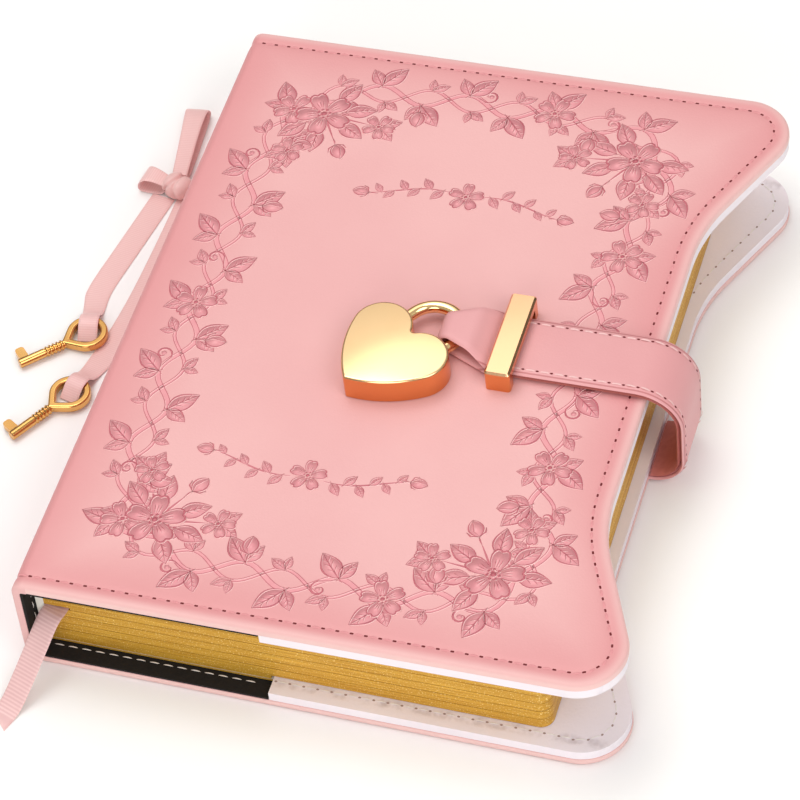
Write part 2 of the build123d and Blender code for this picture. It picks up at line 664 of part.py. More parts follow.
def key(x, y, heading):
    """Key with its ring at x, y and its shaft pointing along heading degrees."""
    reach = RING_R + RING_PEAK
    hole_reach = reach * ring_in / RING_R
    bow = extrude(drop(RING_R, reach) - drop(ring_in, hole_reach), RING_T, dir=UP)
    bow = fillet(bow.edges().filter_by(Plane.XY), RING_SOFT)
    bow = Pos(0, 0, key_z - RING_T / 2) * bow
    neck = KEY_D / 2 - BEAD_RISE
    crest = KEY_D / 2 + BEAD_RISE
    root = hole_reach + BEAD_RISE
    turned = [(0, root), (neck, root)]
    for i in range(BEADS):
        from_ring = RING_R + BEAD_FROM + i * BEAD_STEP
        turned.append((neck, from_ring))
        turned.append((crest, from_ring + 2 * BEAD_RISE))
        turned.append((crest, from_ring + BEAD_STEP - 3 * BEAD_RISE))
        turned.append((neck, from_ring + BEAD_STEP - BEAD_RISE))
    shaft_from = RING_R + BEAD_FROM + BEADS * BEAD_STEP
    turned += [(neck, shaft_from), (KEY_D / 2, shaft_from + BEAD_RISE)]
    turned += [(KEY_D / 2, KEY_L - BEAD_RISE), (neck, KEY_L), (0, KEY_L)]
    shaft = revolve(make_face(Polyline(*turned, close=True)), Axis.Y)
    shaft = Pos(0, 0, key_z) * Rot(0, 0, -90) * shaft
    bit_x1 = KEY_L - BIT_END
    bit = box(bit_x1 - BIT_W, bit_x1, -BIT_L, 0, key_z - BIT_T / 2, key_z + BIT_T / 2)
    bit = fillet(bit.edges().filter_by(Axis.Z).group_by(Axis.Y)[0], BIT_ROUND)
    return Pos(SPINE_X + x, y, 0) * Rot(0, 0, heading) * (bow + shaft + bit)


KEYS = [(-19.0, 5.5, 224.4), (-16.6, -14.2, 238.8)]
for i, (x, y, heading) in enumerate(KEYS):
    save(key(x, y, heading), "key_" + str(i + 1))

# Ribbon: a knot beside the spine, held by a short end sewn to it, two loops and a tail
# through the ring of each key. Its points lie on the table, from the spine face.
KNOT = (-12.5, 58.0)
KNOT_TURN = 20.0
knot_place = Pos(SPINE_X + KNOT[0], KNOT[1], 0)
knot = knot_place * Pos(0, 0, KNOT_T / 2) * Rot(0, 0, KNOT_TURN) * Box(KNOT_L, KNOT_W, KNOT_T)
knot = fillet(knot.edges(), KNOT_ROUND)
save(knot, "ribbon_knot")
flat_z = RIBBON_T / 2
ANCHOR_W = 5.0
ANCHOR_UP = 9.0
ANCHOR_BEND = 2.4
anchor_path = [(KNOT[0] + KNOT_W / 4, flat_z), (-flat_z, flat_z), (-flat_z, ANCHOR_UP)]
anchor = Pos(SPINE_X, KNOT[1], 0) * band(anchor_path, [ANCHOR_BEND], ANCHOR_W, RIBBON_T)
save(anchor - knot, "ribbon_anchor")
LOOPS = [("a", 97.0, 27.5), ("b", 172.0, 9.5)]
laid = knot
loop_root = KNOT_W / 2 - RIBBON_T
loop_bend = (LOOP_RISE - flat_z) / 2 * 0.98
for name, heading, reach in LOOPS:
    loop_path = [(loop_root, flat_z), (reach, flat_z), (reach, LOOP_RISE), (loop_root, LOOP_RISE)]
    loop = Rot(0, 0, heading) * band(loop_path, [loop_bend, loop_bend], RIBBON_W, RIBBON_T)
    loop = knot_place * loop - laid
    laid = laid + loop
    save(loop, "ribbon_loop_" + name)
TAILS = [
    [(-15.8, 55.6), (-19.0, 36.0), (-21.6, 21.0)],
    [(-9.0, 55.6), (-9.4, 28.0), (-11.4, 6.0)],
]
TAIL_BENDS = [24.0, 22.0]
BRIDGE_W = 5.0  # folded narrower where it goes through a ring
BRIDGE_BENDS = [0.7, 0.9, 0.9, 0.7]
for i, points in enumerate(TAILS):
    ring_x, ring_y = KEYS[i][0], KEYS[i][1]
    last = points[-1]
    way = hypot(ring_x - last[0], ring_y - last[1])
    flat = [(SPINE_X + x, y, flat_z) for x, y in points + [(ring_x, ring_y)]]
    plan = FilletPolyline(*flat, radius=TAIL_BENDS)
    across = Plane(origin=plan @ 0, x_dir=(0, 0, 1), z_dir=plan % 0)
    tail = sweep(across * Rectangle(RIBBON_T, RIBBON_W), path=plan)
    heading = degrees(atan2(ring_y - last[1], ring_x - last[0]))
    lay = Pos(SPINE_X + last[0], last[1], 0) * Rot(0, 0, heading)
    climb = way - RING_R - 3.0
    over_z = key_z + RING_T / 2 + RIBBON_T
    hump = [
        (climb, flat_z), (climb + 0.8, flat_z), (climb + 3.0, over_z),
        (way - ring_in + 1.2, over_z), (way, flat_z), (way + 1.4, flat_z),
    ]
    bridge = lay * band(hump, BRIDGE_BENDS, BRIDGE_W, RIBBON_T)
    keep = lay * box(climb, way + RING_R, -RING_R, RING_R, -past, past)
    save(tail - keep + bridge - laid - anchor, "ribbon_tail_" + str(i + 1))
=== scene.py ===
from math import atan2, copysign, cos, degrees, exp, hypot, pi, radians, sin, sqrt, tan

import bmesh
import bpy
from mathutils import Euler, Matrix, Vector


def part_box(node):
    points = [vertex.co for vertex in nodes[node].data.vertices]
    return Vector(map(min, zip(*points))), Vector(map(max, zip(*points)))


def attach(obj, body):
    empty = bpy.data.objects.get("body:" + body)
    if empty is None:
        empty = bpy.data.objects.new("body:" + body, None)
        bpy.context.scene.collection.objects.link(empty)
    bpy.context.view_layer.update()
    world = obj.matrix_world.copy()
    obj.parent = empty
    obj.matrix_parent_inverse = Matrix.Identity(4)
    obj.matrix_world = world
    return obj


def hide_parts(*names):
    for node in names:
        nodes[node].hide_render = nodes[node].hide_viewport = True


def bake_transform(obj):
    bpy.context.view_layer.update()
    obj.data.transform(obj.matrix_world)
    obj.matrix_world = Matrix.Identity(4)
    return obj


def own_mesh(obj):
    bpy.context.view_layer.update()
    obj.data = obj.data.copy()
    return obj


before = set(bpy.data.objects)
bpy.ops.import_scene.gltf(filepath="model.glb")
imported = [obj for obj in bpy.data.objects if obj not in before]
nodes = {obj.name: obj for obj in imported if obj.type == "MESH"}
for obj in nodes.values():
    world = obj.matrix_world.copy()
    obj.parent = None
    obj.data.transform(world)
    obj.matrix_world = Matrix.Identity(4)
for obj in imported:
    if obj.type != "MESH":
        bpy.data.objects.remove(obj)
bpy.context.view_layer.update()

# Table, lamps and camera. The diary lies on a plain white table under large soft lamps,
# and the camera stands where the photograph was taken from. Lengths here are in metres.
CAMERA_AT = (0.2168, -0.5710, 0.7168)
CAMERA_AZIMUTH = 21.4
CAMERA_ELEVATION = 49.3
CAMERA_ROLL = -6.7
CAMERA_LENS = 173.6
TABLE_SIZE = 6.0
LAMPS = [
    # name, place, size across, power, colour
    ("key_lamp", (-0.38, 0.12, 1.25), 0.90, 6.5, (1.0, 0.985, 0.965)),
    ("fill_lamp", (0.80, -0.50, 0.95), 0.80, 4.5, (1.0, 0.99, 0.98)),
    ("tail_lamp", (0.10, -1.30, 0.45), 0.90, 6.0, (1.0, 0.985, 0.97)),
    ("head_lamp", (-0.29, 0.75, 0.89), 0.80, 0.66, (1.0, 0.985, 0.955)),
]
# Discs of one brightness, laid on each other, make one lamp that fades towards its rim.
SPARK_AT = (-0.194, 0.489, 1.079)
SPARK_SIZES = (0.20, 0.30, 0.40, 0.50, 0.60, 0.70)
SPARK_POWER = 2.10
SPARK_TONE = (1.0, 0.99, 0.97)
LAMPS += [("spark_lamp", SPARK_AT, size, SPARK_POWER * size**2, SPARK_TONE) for size in SPARK_SIZES]
SKY_STOPS = [
    # height of the view over the table, brightness
    (0.00, (0.10, 0.09, 0.08)),
    (0.22, (0.09, 0.08, 0.07)),
    (0.40, (0.46, 0.45, 0.43)),
    (0.70, (0.54, 0.53, 0.52)),
    (1.00, (0.54, 0.53, 0.52)),
]


def srgb(red, green, blue):
    """Screen colour, 0 to 255, as the linear values that shaders use."""
    shares = [c / 255 for c in (red, green, blue)]
    return tuple(c / 12.92 if c < 0.04045 else ((c + 0.055) / 1.055) ** 2.4 for c in shares)


class Value:
    """A node's output socket. Arithmetic on it adds Math nodes."""

    def __init__(self, graph, socket):
        self.graph = graph
        self.socket = socket

    def math(self, operation, first, second=0.0):
        return self.graph.node("ShaderNodeMath", {"operation": operation}, {0: first, 1: second})

    def __add__(self, other):
        return self.math("ADD", self, other)

    def __radd__(self, other):
        return self.math("ADD", other, self)

    def __sub__(self, other):
        return self.math("SUBTRACT", self, other)

    def __rsub__(self, other):
        return self.math("SUBTRACT", other, self)

    def __mul__(self, other):
        return self.math("MULTIPLY", self, other)

    def __rmul__(self, other):
        return self.math("MULTIPLY", other, self)

    def __abs__(self):
        return self.math("ABSOLUTE", self)

    def least(self, other):
        return self.math("MINIMUM", self, other)

    def wave(self):
        return self.math("SINE", self)

    def fade(self, low, high):
        """0 below low, 1 above high, smooth between them."""
        limits = {"Value": self, "From Min": low, "From Max": high}
        return self.graph.node("ShaderNodeMapRange", {"interpolation_type": "SMOOTHSTEP"}, limits)


class Graph:
    """A tree of nodes, which are added one at a time."""

    def __init__(self, tree):
        self.tree = tree

    def feed(self, socket, value):
        if isinstance(value, Value):
            self.tree.links.new(value.socket, socket)
        elif socket.type == "RGBA":
            socket.default_value = (*value, 1.0)
        else:
            socket.default_value = value

    def node(self, kind, settings, sockets, out=0):
        """Adds a node of a kind, with its settings and what goes into its sockets."""
        made = self.tree.nodes.new(kind)
        for key, value in settings.items():
            if key == "stops":
                ramp = made.color_ramp
                while len(ramp.elements) < len(value):
                    ramp.elements.new(1.0)
                for element, (place, colour) in zip(ramp.elements, value):
                    element.position = place
                    element.color = (*colour, 1.0)
            else:
                setattr(made, key, value)
        for key, value in sockets.items():
            self.feed(made.inputs[key], value)
        return Value(self, made.outputs[out])

    def place(self, kind="Object"):
        return self.node("ShaderNodeTexCoord", {}, {}, kind)

    def axis(self, vector, letter):
        return self.node("ShaderNodeSeparateXYZ", {}, {0: vector}, letter)


class Finish(Graph):
    """One procedural surface finish, with its shader nodes."""

    def __init__(self, name):
        self.material = bpy.data.materials.new(name)
        self.material.use_nodes = True
        super().__init__(self.material.node_tree)
        self.tree.nodes.clear()
        self.shader = self.tree.nodes.new("ShaderNodeBsdfPrincipled")
        end = self.tree.nodes.new("ShaderNodeOutputMaterial")
        self.tree.links.new(self.shader.outputs[0], end.inputs[0])

    def surface(self, **sockets):
        for name, value in sockets.items():
            self.feed(self.shader.inputs[name.replace("_", " ")], value)

    def stretched(self, vector, scale):
        return self.node("ShaderNodeMapping", {}, {"Vector": vector, "Scale": scale})

    def noise(self, vector, scale, detail=2.0, rough=0.5):
        sockets = {"Vector": vector, "Scale": scale, "Detail": detail, "Roughness": rough}
        return self.node("ShaderNodeTexNoise", {}, sockets)

    def cells(self, vector, scale):
        return self.node("ShaderNodeTexVoronoi", {}, {"Vector": vector, "Scale": scale})

    def mix(self, share, first, second):
        return self.node("ShaderNodeMix", {"data_type": "RGBA"}, {0: share, 6: first, 7: second}, 2)

    def bump(self, height, distance, strength=1.0):
        sockets = {"Height": height, "Distance": distance, "Strength": strength}
        return self.node("ShaderNodeBump", {}, sockets)


def placed(name, data):
    """A new object in the scene."""
    made = bpy.data.objects.new(name, data)
    bpy.context.collection.objects.link(made)
    return made


table_finish = Finish("white_table")
table_grain = table_finish.noise(table_finish.place(), 6.0)
table_tone = table_finish.mix(table_grain, (0.94, 0.94, 0.94), (0.96, 0.96, 0.96))
table_finish.surface(Base_Color=table_tone, Roughness=0.85)
bpy.ops.mesh.primitive_grid_add(x_subdivisions=4, y_subdivisions=4, size=TABLE_SIZE)
table = bpy.context.object
table.name = "table"
table.data.materials.append(table_finish.material)

for lamp_name, lamp_at, across, power, colour in LAMPS:
    lamp = bpy.data.lights.new(lamp_name, "AREA")
    lamp.shape = "DISK"
    lamp.size = across
    lamp.energy = power
    lamp.color = colour
    holder = placed(lamp_name, lamp)
    holder.location = lamp_at
    holder.rotation_mode = "QUATERNION"
    holder.rotation_quaternion = (-Vector(lamp_at)).to_track_quat("-Z", "Y")

sky = bpy.data.worlds.new("studio")
sky.use_nodes = True
bpy.context.scene.world = sky
studio = Graph(sky.node_tree)
sky_height = studio.axis(studio.place("Generated"), "Z")
sky_tone = studio.node("ShaderNodeValToRGB", {"stops": SKY_STOPS}, {0: sky_height})
studio.feed(sky.node_tree.nodes["Background"].inputs[0], sky_tone)
bpy.context.scene.view_settings.view_transform = "Standard"

camera_data = bpy.data.cameras.new("camera")
camera_data.lens = CAMERA_LENS
camera = placed("camera", camera_data)
turn = Euler((radians(90 - CAMERA_ELEVATION), 0, radians(CAMERA_AZIMUTH))).to_matrix()
turn = turn @ Matrix.Rotation(radians(CAMERA_ROLL), 3, "Z")
camera.matrix_world = Matrix.Translation(CAMERA_AT) @ turn.to_4x4()
bpy.context.scene.camera = camera

# Stiffening boards. Grey millboard is cut to the cover's outline and laid inside the
# leather of both covers and of the spine, where only its cut edges could ever be seen.
greyboard = Finish("greyboard")
board_at = greyboard.place()
board_fibre = greyboard.noise(board_at, 900.0, 4.0)
board_fleck = greyboard.noise(board_at, 160.0, 3.0)
board_tone = greyboard.mix(board_fleck, srgb(150, 143, 132), srgb(190, 182, 170))
greyboard.surface(Base_Color=board_tone, Roughness=0.9)
greyboard.surface(Normal=greyboard.bump(board_fibre, 0.00008))


def dress(finish, *names):
    """Gives CAD pieces a finish."""
    for name in names:
        nodes[name].data.materials.clear()
        nodes[name].data.materials.append(finish.material)


dress(greyboard, "back_board", "front_board", "spine_board")

# Cover leather. One skin of soft pink leather is turned over the boards and sewn round the
# edge, so that a low groove runs along the seam. Lengths from here on are in millimetres, but
# those inside a finish are in metres.
MM = 0.001
COVER_W = 143.0
COVER_H = 185.0
WAIST_DEPTH = 14.0
WAIST_R = 44.0
FLARE = 24.26
CORNER_R = 11.5
SPINE_T = 28.0
TILT = 1.0
BEND_R = 3.0
CREASE = 4.0
SPINE_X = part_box("spine_cover")[0].x / MM
FRONT_X = SPINE_X + CREASE
WAIST_X = SPINE_X + COVER_W - WAIST_DEPTH
HINGE = (SPINE_X + BEND_R / 2, SPINE_T - BEND_R / 2)
SHELL_T = 2.2
SEAM_INSET = 3.8
GROOVE = 0.25
EDGE_PROFILE = [
    # distance in from the edge, depth under the outer face
    (1.60, SHELL_T), (0.35, SHELL_T), (0.08, 2.05), (0.00, 1.75), (0.00, 0.95), (0.08, 0.58),
    (0.28, 0.28), (0.62, 0.10), (1.20, 0.03), (2.20, 0.03), (2.90, 0.07), (3.40, 0.17),
    (SEAM_INSET, GROOVE), (4.20, 0.17), (4.70, 0.07), (5.60, 0.02), (7.20, 0.00), (9.40, 0.00),
]
PINK = srgb(227, 170, 170)
PINK_PALE = srgb(231, 177, 176)
PINK_EDGE_SHADE = srgb(219, 147, 149)
PINK_BORDER_HIGHLIGHT = srgb(229, 180, 178)
PINK_RIM_HIGHLIGHT = srgb(238, 198, 194)
PINK_CREASE = srgb(196, 122, 124)


def pink_leather(name, deep=PINK, pale=PINK_PALE, border=False, rim=False, crease=0.0):
    """Fine-grained soft leather. A cover's has painted shade, deeper pink towards its edges, and
    painted highlights, paler pink, on its border and rim. A crease is a line pressed at that
    distance from the middle of a strap."""
    finish = Finish(name)
    at = finish.place()
    clouds = finish.noise(at, 22.0, 3.0)
    tone = finish.mix(clouds.fade(0.35, 0.7), deep, pale)
    if border:
        x = finish.axis(at, "X")
        y = abs(finish.axis(at, "Y"))
        fore = y.fade(0.030, 0.080) * (WAIST_DEPTH * MM) + WAIST_X * MM
        # Painted shade: the tone deepens towards the cover's edges.
        margin = (COVER_H / 2 * MM - y).least(x - SPINE_X * MM).least(fore - x) + clouds * 0.010
        tone = finish.mix(margin.fade(0.002, 0.030), PINK_EDGE_SHADE, tone)
        # Painted highlight: paler pink on the outer three millimetres of the edge.
        inset = finish.node("ShaderNodeAttribute", {"attribute_name": "inset"}, {}, "Fac")
        tone = finish.mix(inset.fade(0.4, 3.0), PINK_BORDER_HIGHLIGHT, tone)
    if rim:
        # Painted highlight: paler pink on the upright faces of the rim.
        facing = finish.axis(finish.place("Normal"), "Z")
        tone = finish.mix(abs(facing).fade(0.10, 0.90), PINK_RIM_HIGHLIGHT, tone)
    wrinkle = finish.noise(at, 420.0, 5.0, 0.6)
    height = finish.cells(at, 1500.0) * 0.5 + wrinkle
    if crease:
        across = finish.axis(finish.place("UV"), "Y")
        beside_crease = abs(abs(across) - crease * MM).fade(0.00008, 0.00028)
        tone = finish.mix(beside_crease, PINK_CREASE, tone)
        height = height + beside_crease * 2.5
    finish.surface(Base_Color=tone, Roughness=0.40 + wrinkle * 0.16, Specular_IOR_Level=0.42)
    finish.surface(Normal=finish.bump(height, 0.00005, 0.55))
    return finish


cover_leather = pink_leather("cover_leather", border=True, rim=True)


def raw_mesh(name, points, edges=(), faces=()):
    """A mesh from points in millimetres."""
    mesh = bpy.data.meshes.new(name)
    mesh.from_pydata([Vector(p) * MM for p in points], edges, faces)
    return mesh


def piece(name, points, faces, finish, sharp=40.0, insets=(), uvs=()):
    """A closed mesh piece from points in millimetres, with its faces turned outwards. Insets are
    the distances of its points from the cover's edge, uvs their places along and across it."""
    mesh = raw_mesh(name, points, faces=faces)
    if insets:
        mesh.attributes.new("inset", "FLOAT", "POINT").data.foreach_set("value", insets)
    if uvs:
        layer = mesh.uv_layers.new(name="along")
        for corner in mesh.loops:
            layer.data[corner.index].uv = uvs[corner.vertex_index]
    work = bmesh.new()
    work.from_mesh(mesh)
    bmesh.ops.remove_doubles(work, verts=work.verts, dist=1e-7)
    bmesh.ops.recalc_face_normals(work, faces=work.faces)
    work.to_mesh(mesh)
    work.free()
    mesh.shade_smooth()
    mesh.set_sharp_from_angle(angle=radians(sharp))
    mesh.materials.append(finish.material)
    return placed(name, mesh)


def fit(made, body, slot, *names):
    """Puts a piece on a body, in the place of the CAD nodes that are named."""
    if names:
        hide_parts(*names)
    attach(made, body)


def arc(centre, radius, first, last, count):
    """Points round part of a circle, between two angles in degrees, without the last."""
    turns = [radians(first + (last - first) * i / count) for i in range(count)]
    return [(centre[0] + radius * cos(t), centre[1] + radius * sin(t)) for t in turns]


def run(first, last, count):
    """Points along a straight line, without the last."""
    shares = [i / count for i in range(count)]
    return [tuple(a + (b - a) * s for a, b in zip(first, last)) for s in shares]


def cover_edge(inset):
    """A cover's edge from the spine at the head round the waisted fore edge to the tail."""
    lean = radians(FLARE)
    both = WAIST_R + CORNER_R
    slant = (WAIST_DEPTH - both * (1 - cos(lean))) / sin(lean)
    corner = CORNER_R - inset
    hollow = WAIST_R + inset
    h = COVER_H / 2 - inset
    cx = SPINE_X + COVER_W - CORNER_R
    cy = COVER_H / 2 - CORNER_R
    hx = WAIST_X + WAIST_R
    hy = cy - both * sin(lean) - slant * cos(lean)
    out_end = (cx + corner * cos(lean), cy - corner * sin(lean))
    in_end = (hx - hollow * cos(lean), hy + hollow * sin(lean))
    middle = (hx - hollow, 0.0)
    half = run((FRONT_X, h), (cx, h), 24)
    half += arc((cx, cy), corner, 90.0, -FLARE, 20)
    half += run(out_end, in_end, 6)
    half += arc((hx, hy), hollow, 180.0 - FLARE, 180.0, 10)
    half += run((hx - hollow, hy), middle, 8)
    return half + [middle] + [(x, -y) for x, y in reversed(half)]


def tilted(x, y, z):
    """A point of the flat front cover, turned with it about its bend."""
    dx, dz = x - HINGE[0], z - HINGE[1]
    c, s = cos(radians(TILT)), sin(radians(TILT))
    return (HINGE[0] + dx * c - dz * s, y, HINGE[1] + dx * s + dz * c)


def level(x, y, z):
    """A point of the back cover, which lies flat."""
    return (x, y, z)


def leather_shell(name, face_z, way, place):
    """Leather of one cover: a skin whose outer face is at face_z and opens the other way."""
    points, insets = [], []
    for inset, depth in EDGE_PROFILE:
        ring = [place(x, y, face_z + way * depth) for x, y in cover_edge(inset)]
        points += ring
        insets += [inset] * len(ring)
    n = len(ring)
    last = len(points) - n
    ends = list(range(0, len(points), n))
    faces = [(a + k, a + k + 1, a + k + n + 1, a + k + n) for a in ends[:-1] for k in range(n - 1)]
    faces += [tuple(range(last, last + n)), tuple(range(n))]
    faces.append(tuple(ends + [i + n - 1 for i in reversed(ends)]))
    return piece(name, points, faces, cover_leather, insets=insets)


fit(leather_shell("front_leather", SPINE_T, -1, tilted), "front", "pink_leather", "front_cover")
fit(leather_shell("back_leather", 0.0, 1, level), "diary_base", "pink_leather", "back_cover")

# Spine leather. The same skin runs up the spine and over the front bend, where it is pared
# thin and is the hinge of the cover.
SPINE_STEPS = 36
SIDE_WALL = 4
BEND_T = 1.0
PARED_HALF = 89.6
PARED_FADE = 1.2
LAP_FADE = 0.8
LAP_RISE = 0.04
LEAST_R = 0.2
BEND_Z = SPINE_T - 5.0
# The spine's section: from the back cover round the spine's foot and up it, then over the bend to the
# front cover.
spine_line = run((FRONT_X, 0.0), (SPINE_X + BEND_R, 0.0), 3)
spine_line += arc((SPINE_X + BEND_R, BEND_R), BEND_R, 270.0, 180.0, 10)
spine_line += run((SPINE_X, BEND_R), (SPINE_X, BEND_Z), 10)
bend_line = run((SPINE_X, BEND_Z), (SPINE_X, SPINE_T - BEND_R), 6)
bend_line += arc((SPINE_X + BEND_R, SPINE_T - BEND_R), BEND_R, 180.0, 90.0, 14)
bend_line += run((SPINE_X + BEND_R, SPINE_T), (FRONT_X, SPINE_T + LAP_RISE), 3)
bend_line += [(FRONT_X, SPINE_T + LAP_RISE)]


def inward(point, depth):
    """Point of the spine's section, moved towards its inside by depth."""
    x, z = point
    cx = max(x, SPINE_X + BEND_R)
    cz = min(max(z, BEND_R), SPINE_T - BEND_R)
    reach = hypot(x - cx, z - cz)
    keep = max(reach - depth, LEAST_R) / reach
    return (cx + (x - cx) * keep, cz + (z - cz) * keep)


def pared(point, y, full, thin):
    """A depth that is full along the spine, at the cover and at both ends, and thin over
    the length of the bend that the leaves pass."""
    x, z = point
    share = min((z - BEND_Z) / PARED_FADE, (FRONT_X - x) / LAP_FADE, (PARED_HALF - abs(y)) / PARED_FADE)
    return full + (thin - full) * min(max(share, 0.0), 1.0)


def tube_faces(rows, ring):
    """Faces of a tube of rows of points, each row a ring, with a face on both ends."""
    faces = []
    for i in range(rows - 1):
        for k in range(ring):
            a, b = i * ring + k, i * ring + (k + 1) % ring
            faces.append((a, b, b + ring, a + ring))
    return faces + [tuple(range(ring)), tuple(range((rows - 1) * ring, rows * ring))]


def spine_layer(name, line, outer, inner, ends, finish):
    """A layer along the spine between two depths, each given along and over the bend. Ends
    are rows of (distance from the middle, how far the outer face has sunk there)."""
    rows = [(-y, sunk) for y, sunk in ends]
    rows += [(ends[-1][0] * (2 * i / SPINE_STEPS - 1), 0.0) for i in range(1, SPINE_STEPS)]
    rows += reversed(ends)
    points, insets = [], []
    for y, sunk in rows:
        section = [inward(p, min(pared(p, y, *outer) + sunk, pared(p, y, *inner))) for p in line]
        section += [inward(p, pared(p, y, *inner)) for p in reversed(line)]
        points += [(x, y, z) for x, z in section]
        insets += [COVER_H / 2 - abs(y)] * len(section)
    made = piece(name, points, tube_faces(len(rows), 2 * len(line)), finish, insets=insets)
    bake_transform(made)
    return made


# The spine's skin has the cover's painted edge shade and painted border highlight as well.
spine_skin = pink_leather("spine_skin", border=True)
spine_ends = [(COVER_H / 2 - inset, depth) for inset, depth in EDGE_PROFILE[SIDE_WALL:]]
spine_leather = spine_layer(
    "spine_leather", spine_line + bend_line, (0.0, 0.0), (SHELL_T, BEND_T), spine_ends, spine_skin
)
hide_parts("spine_cover", "front_crease")

# Linings. Thin black cloth is glued inside the covers and the spine, under the pockets, and
# a strip of it follows the leather through the front bend.
LINED_T = 2.8
CLOTH_T = 0.25
black_lining = Finish("black_lining")
cloth_at = black_lining.place()
warp = black_lining.stretched(cloth_at, (2600.0, 900.0, 900.0))
weft = black_lining.stretched(cloth_at, (900.0, 2600.0, 900.0))
weave = black_lining.noise(warp, 1.0) + black_lining.noise(weft, 1.0)
cloth_tone = black_lining.mix(weave * 0.5, srgb(10, 9, 9), srgb(38, 35, 35))
black_lining.surface(Base_Color=cloth_tone, Roughness=0.82, Specular_IOR_Level=0.3)
black_lining.surface(Normal=black_lining.bump(weave, 0.00006, 0.6))
dress(black_lining, "back_lining", "front_lining", "spine_lining")
cloth_ends = [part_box("crease_lining")[1].y / MM, PARED_HALF, PARED_HALF - PARED_FADE]
bend_cloth = spine_layer(
    "bend_cloth", bend_line, (SHELL_T, BEND_T), (LINED_T, BEND_T + CLOTH_T),
    [(y, 0.0) for y in cloth_ends], black_lining,
)
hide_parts("crease_lining")

# Pockets. Flaps of white leather, sewn to the covers round three sides and open towards
# the spine, hold the card covers of the refill. The thread draws them up along the seam, and
# the puckers there are painted greyer as painted shade in their folds.
white_leather = Finish("white_leather")
flap_at = white_leather.place()
flap_grain = white_leather.cells(flap_at, 1300.0)
flap_cloud = white_leather.noise(flap_at, 40.0, 3.0)
flap_margin = COVER_H / 2 * MM - abs(white_leather.axis(flap_at, "Y"))
flap_sewn = 1 - abs(flap_margin - SEAM_INSET * MM).fade(0.0005, 0.0019)
flap_drawn = white_leather.noise(white_leather.stretched(flap_at, (420.0, 300.0, 300.0)), 1.0)
flap_pucker_and_shade = flap_drawn.fade(0.38, 0.72) * flap_sewn
flap_tone = white_leather.mix(flap_cloud, srgb(236, 227, 234), srgb(248, 241, 247))
# Painted shade: the puckers along the seam are painted greyer.
flap_tone = white_leather.mix(flap_pucker_and_shade, flap_tone, srgb(217, 207, 213))
white_leather.surface(Base_Color=flap_tone, Roughness=0.5, Specular_IOR_Level=0.4)
white_leather.surface(Normal=white_leather.bump(flap_grain - flap_pucker_and_shade * 4.0, 0.00005, 0.6))
dress(white_leather, "back_pocket", "front_pocket")

# Refill block. Card covers, a glued paper spine, sections of cream paper with gilt edges,
# and the first leaves, which turn with the cover.
FLAT = 0.5


def grained(name, scale, detail, dark, light, rough, depth, strength, **more):
    """A finish with one fine grain, which is both its tone and its relief."""
    finish = Finish(name)
    grain = finish.noise(finish.place(), scale, detail)
    finish.surface(Base_Color=finish.mix(grain, dark, light), Roughness=rough, **more)
    finish.surface(Normal=finish.bump(grain, depth, strength))
    return finish


white_card = grained(
    "white_card", 700.0, 4.0, srgb(238, 232, 220), srgb(250, 246, 238), 0.75, 0.00004, 0.5
)
dress(white_card, "back_card", "front_card", "block_spine")

cream_paper = Finish("cream_paper")
sheet_at = cream_paper.place()
sheet_fibre = cream_paper.noise(sheet_at, 1100.0, 4.0)
sheet_tone = cream_paper.mix(sheet_fibre, srgb(243, 232, 208), srgb(250, 242, 224))
page_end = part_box("page_section_1")[1]
sheet_end = page_end.y - abs(cream_paper.axis(sheet_at, "Y"))
sheet_margin = sheet_end.least(page_end.x - cream_paper.axis(sheet_at, "X"))
sheet_tone = cream_paper.mix(sheet_margin.fade(0.0006, 0.0018), srgb(180, 128, 42), sheet_tone)
cream_paper.surface(Base_Color=sheet_tone, Roughness=0.8)
cream_paper.surface(Normal=cream_paper.bump(sheet_fibre, 0.00003, 0.5))

gilt_edge = Finish("gilt_edge")
gilt_at = gilt_edge.place()
gilt_lines = gilt_edge.noise(gilt_edge.stretched(gilt_at, (45.0, 45.0, 3600.0)), 1.0, 3.0, 0.65)
gilt_speck_and_glint = gilt_edge.noise(gilt_at, 2400.0, 2.0, 0.7)
gilt_worn = gilt_edge.noise(gilt_edge.stretched(gilt_at, (60.0, 60.0, 420.0)), 1.0, 4.0)
gilt_tone = gilt_edge.mix(gilt_lines.fade(0.32, 0.72), srgb(198, 142, 32), srgb(232, 182, 64))
# Painted glint: pale gold specks over the gilt; the same specks also vary roughness and relief.
gilt_tone = gilt_edge.mix(gilt_speck_and_glint.fade(0.56, 0.70), gilt_tone, srgb(255, 236, 156))
gilt_tone = gilt_edge.mix(gilt_worn.fade(0.60, 0.90), gilt_tone, srgb(182, 126, 36))
gilt_edge.surface(Base_Color=gilt_tone, Metallic=0.35, Roughness=0.36 + gilt_speck_and_glint * 0.2)
gilt_edge.surface(Normal=gilt_edge.bump(gilt_lines + gilt_speck_and_glint * 0.5, 0.00010, 0.7))

paper_names = ["page_section_" + str(i + 1) for i in range(6)]
paper_names += ["leaf_" + str(i + 1) for i in range(3)]
dress(cream_paper, *paper_names)
for name in paper_names + ["back_card", "front_card"]:
    paper = nodes[name].data
    paper.materials.append(gilt_edge.material)
    for face in paper.polygons:
        face.material_index = 0 if abs(face.normal.z) > FLAT else 1

# Seams. Waxed thread is sewn through both covers a little inside the edge, through the
# sewn margin of the pockets, and along both edges of the strap.
SEAM_PITCH = 3.35
STITCH_W = 0.62
STITCH_RISE = 0.13
HOLE_L = 0.95
HOLE_W = 0.70
HOLE_DEPTH = 0.3
POCKET_MOUTH = 60.0
STACK_T = 4.8
SEAM_YS = (COVER_H / 2 - SEAM_INSET, SEAM_INSET - COVER_H / 2)


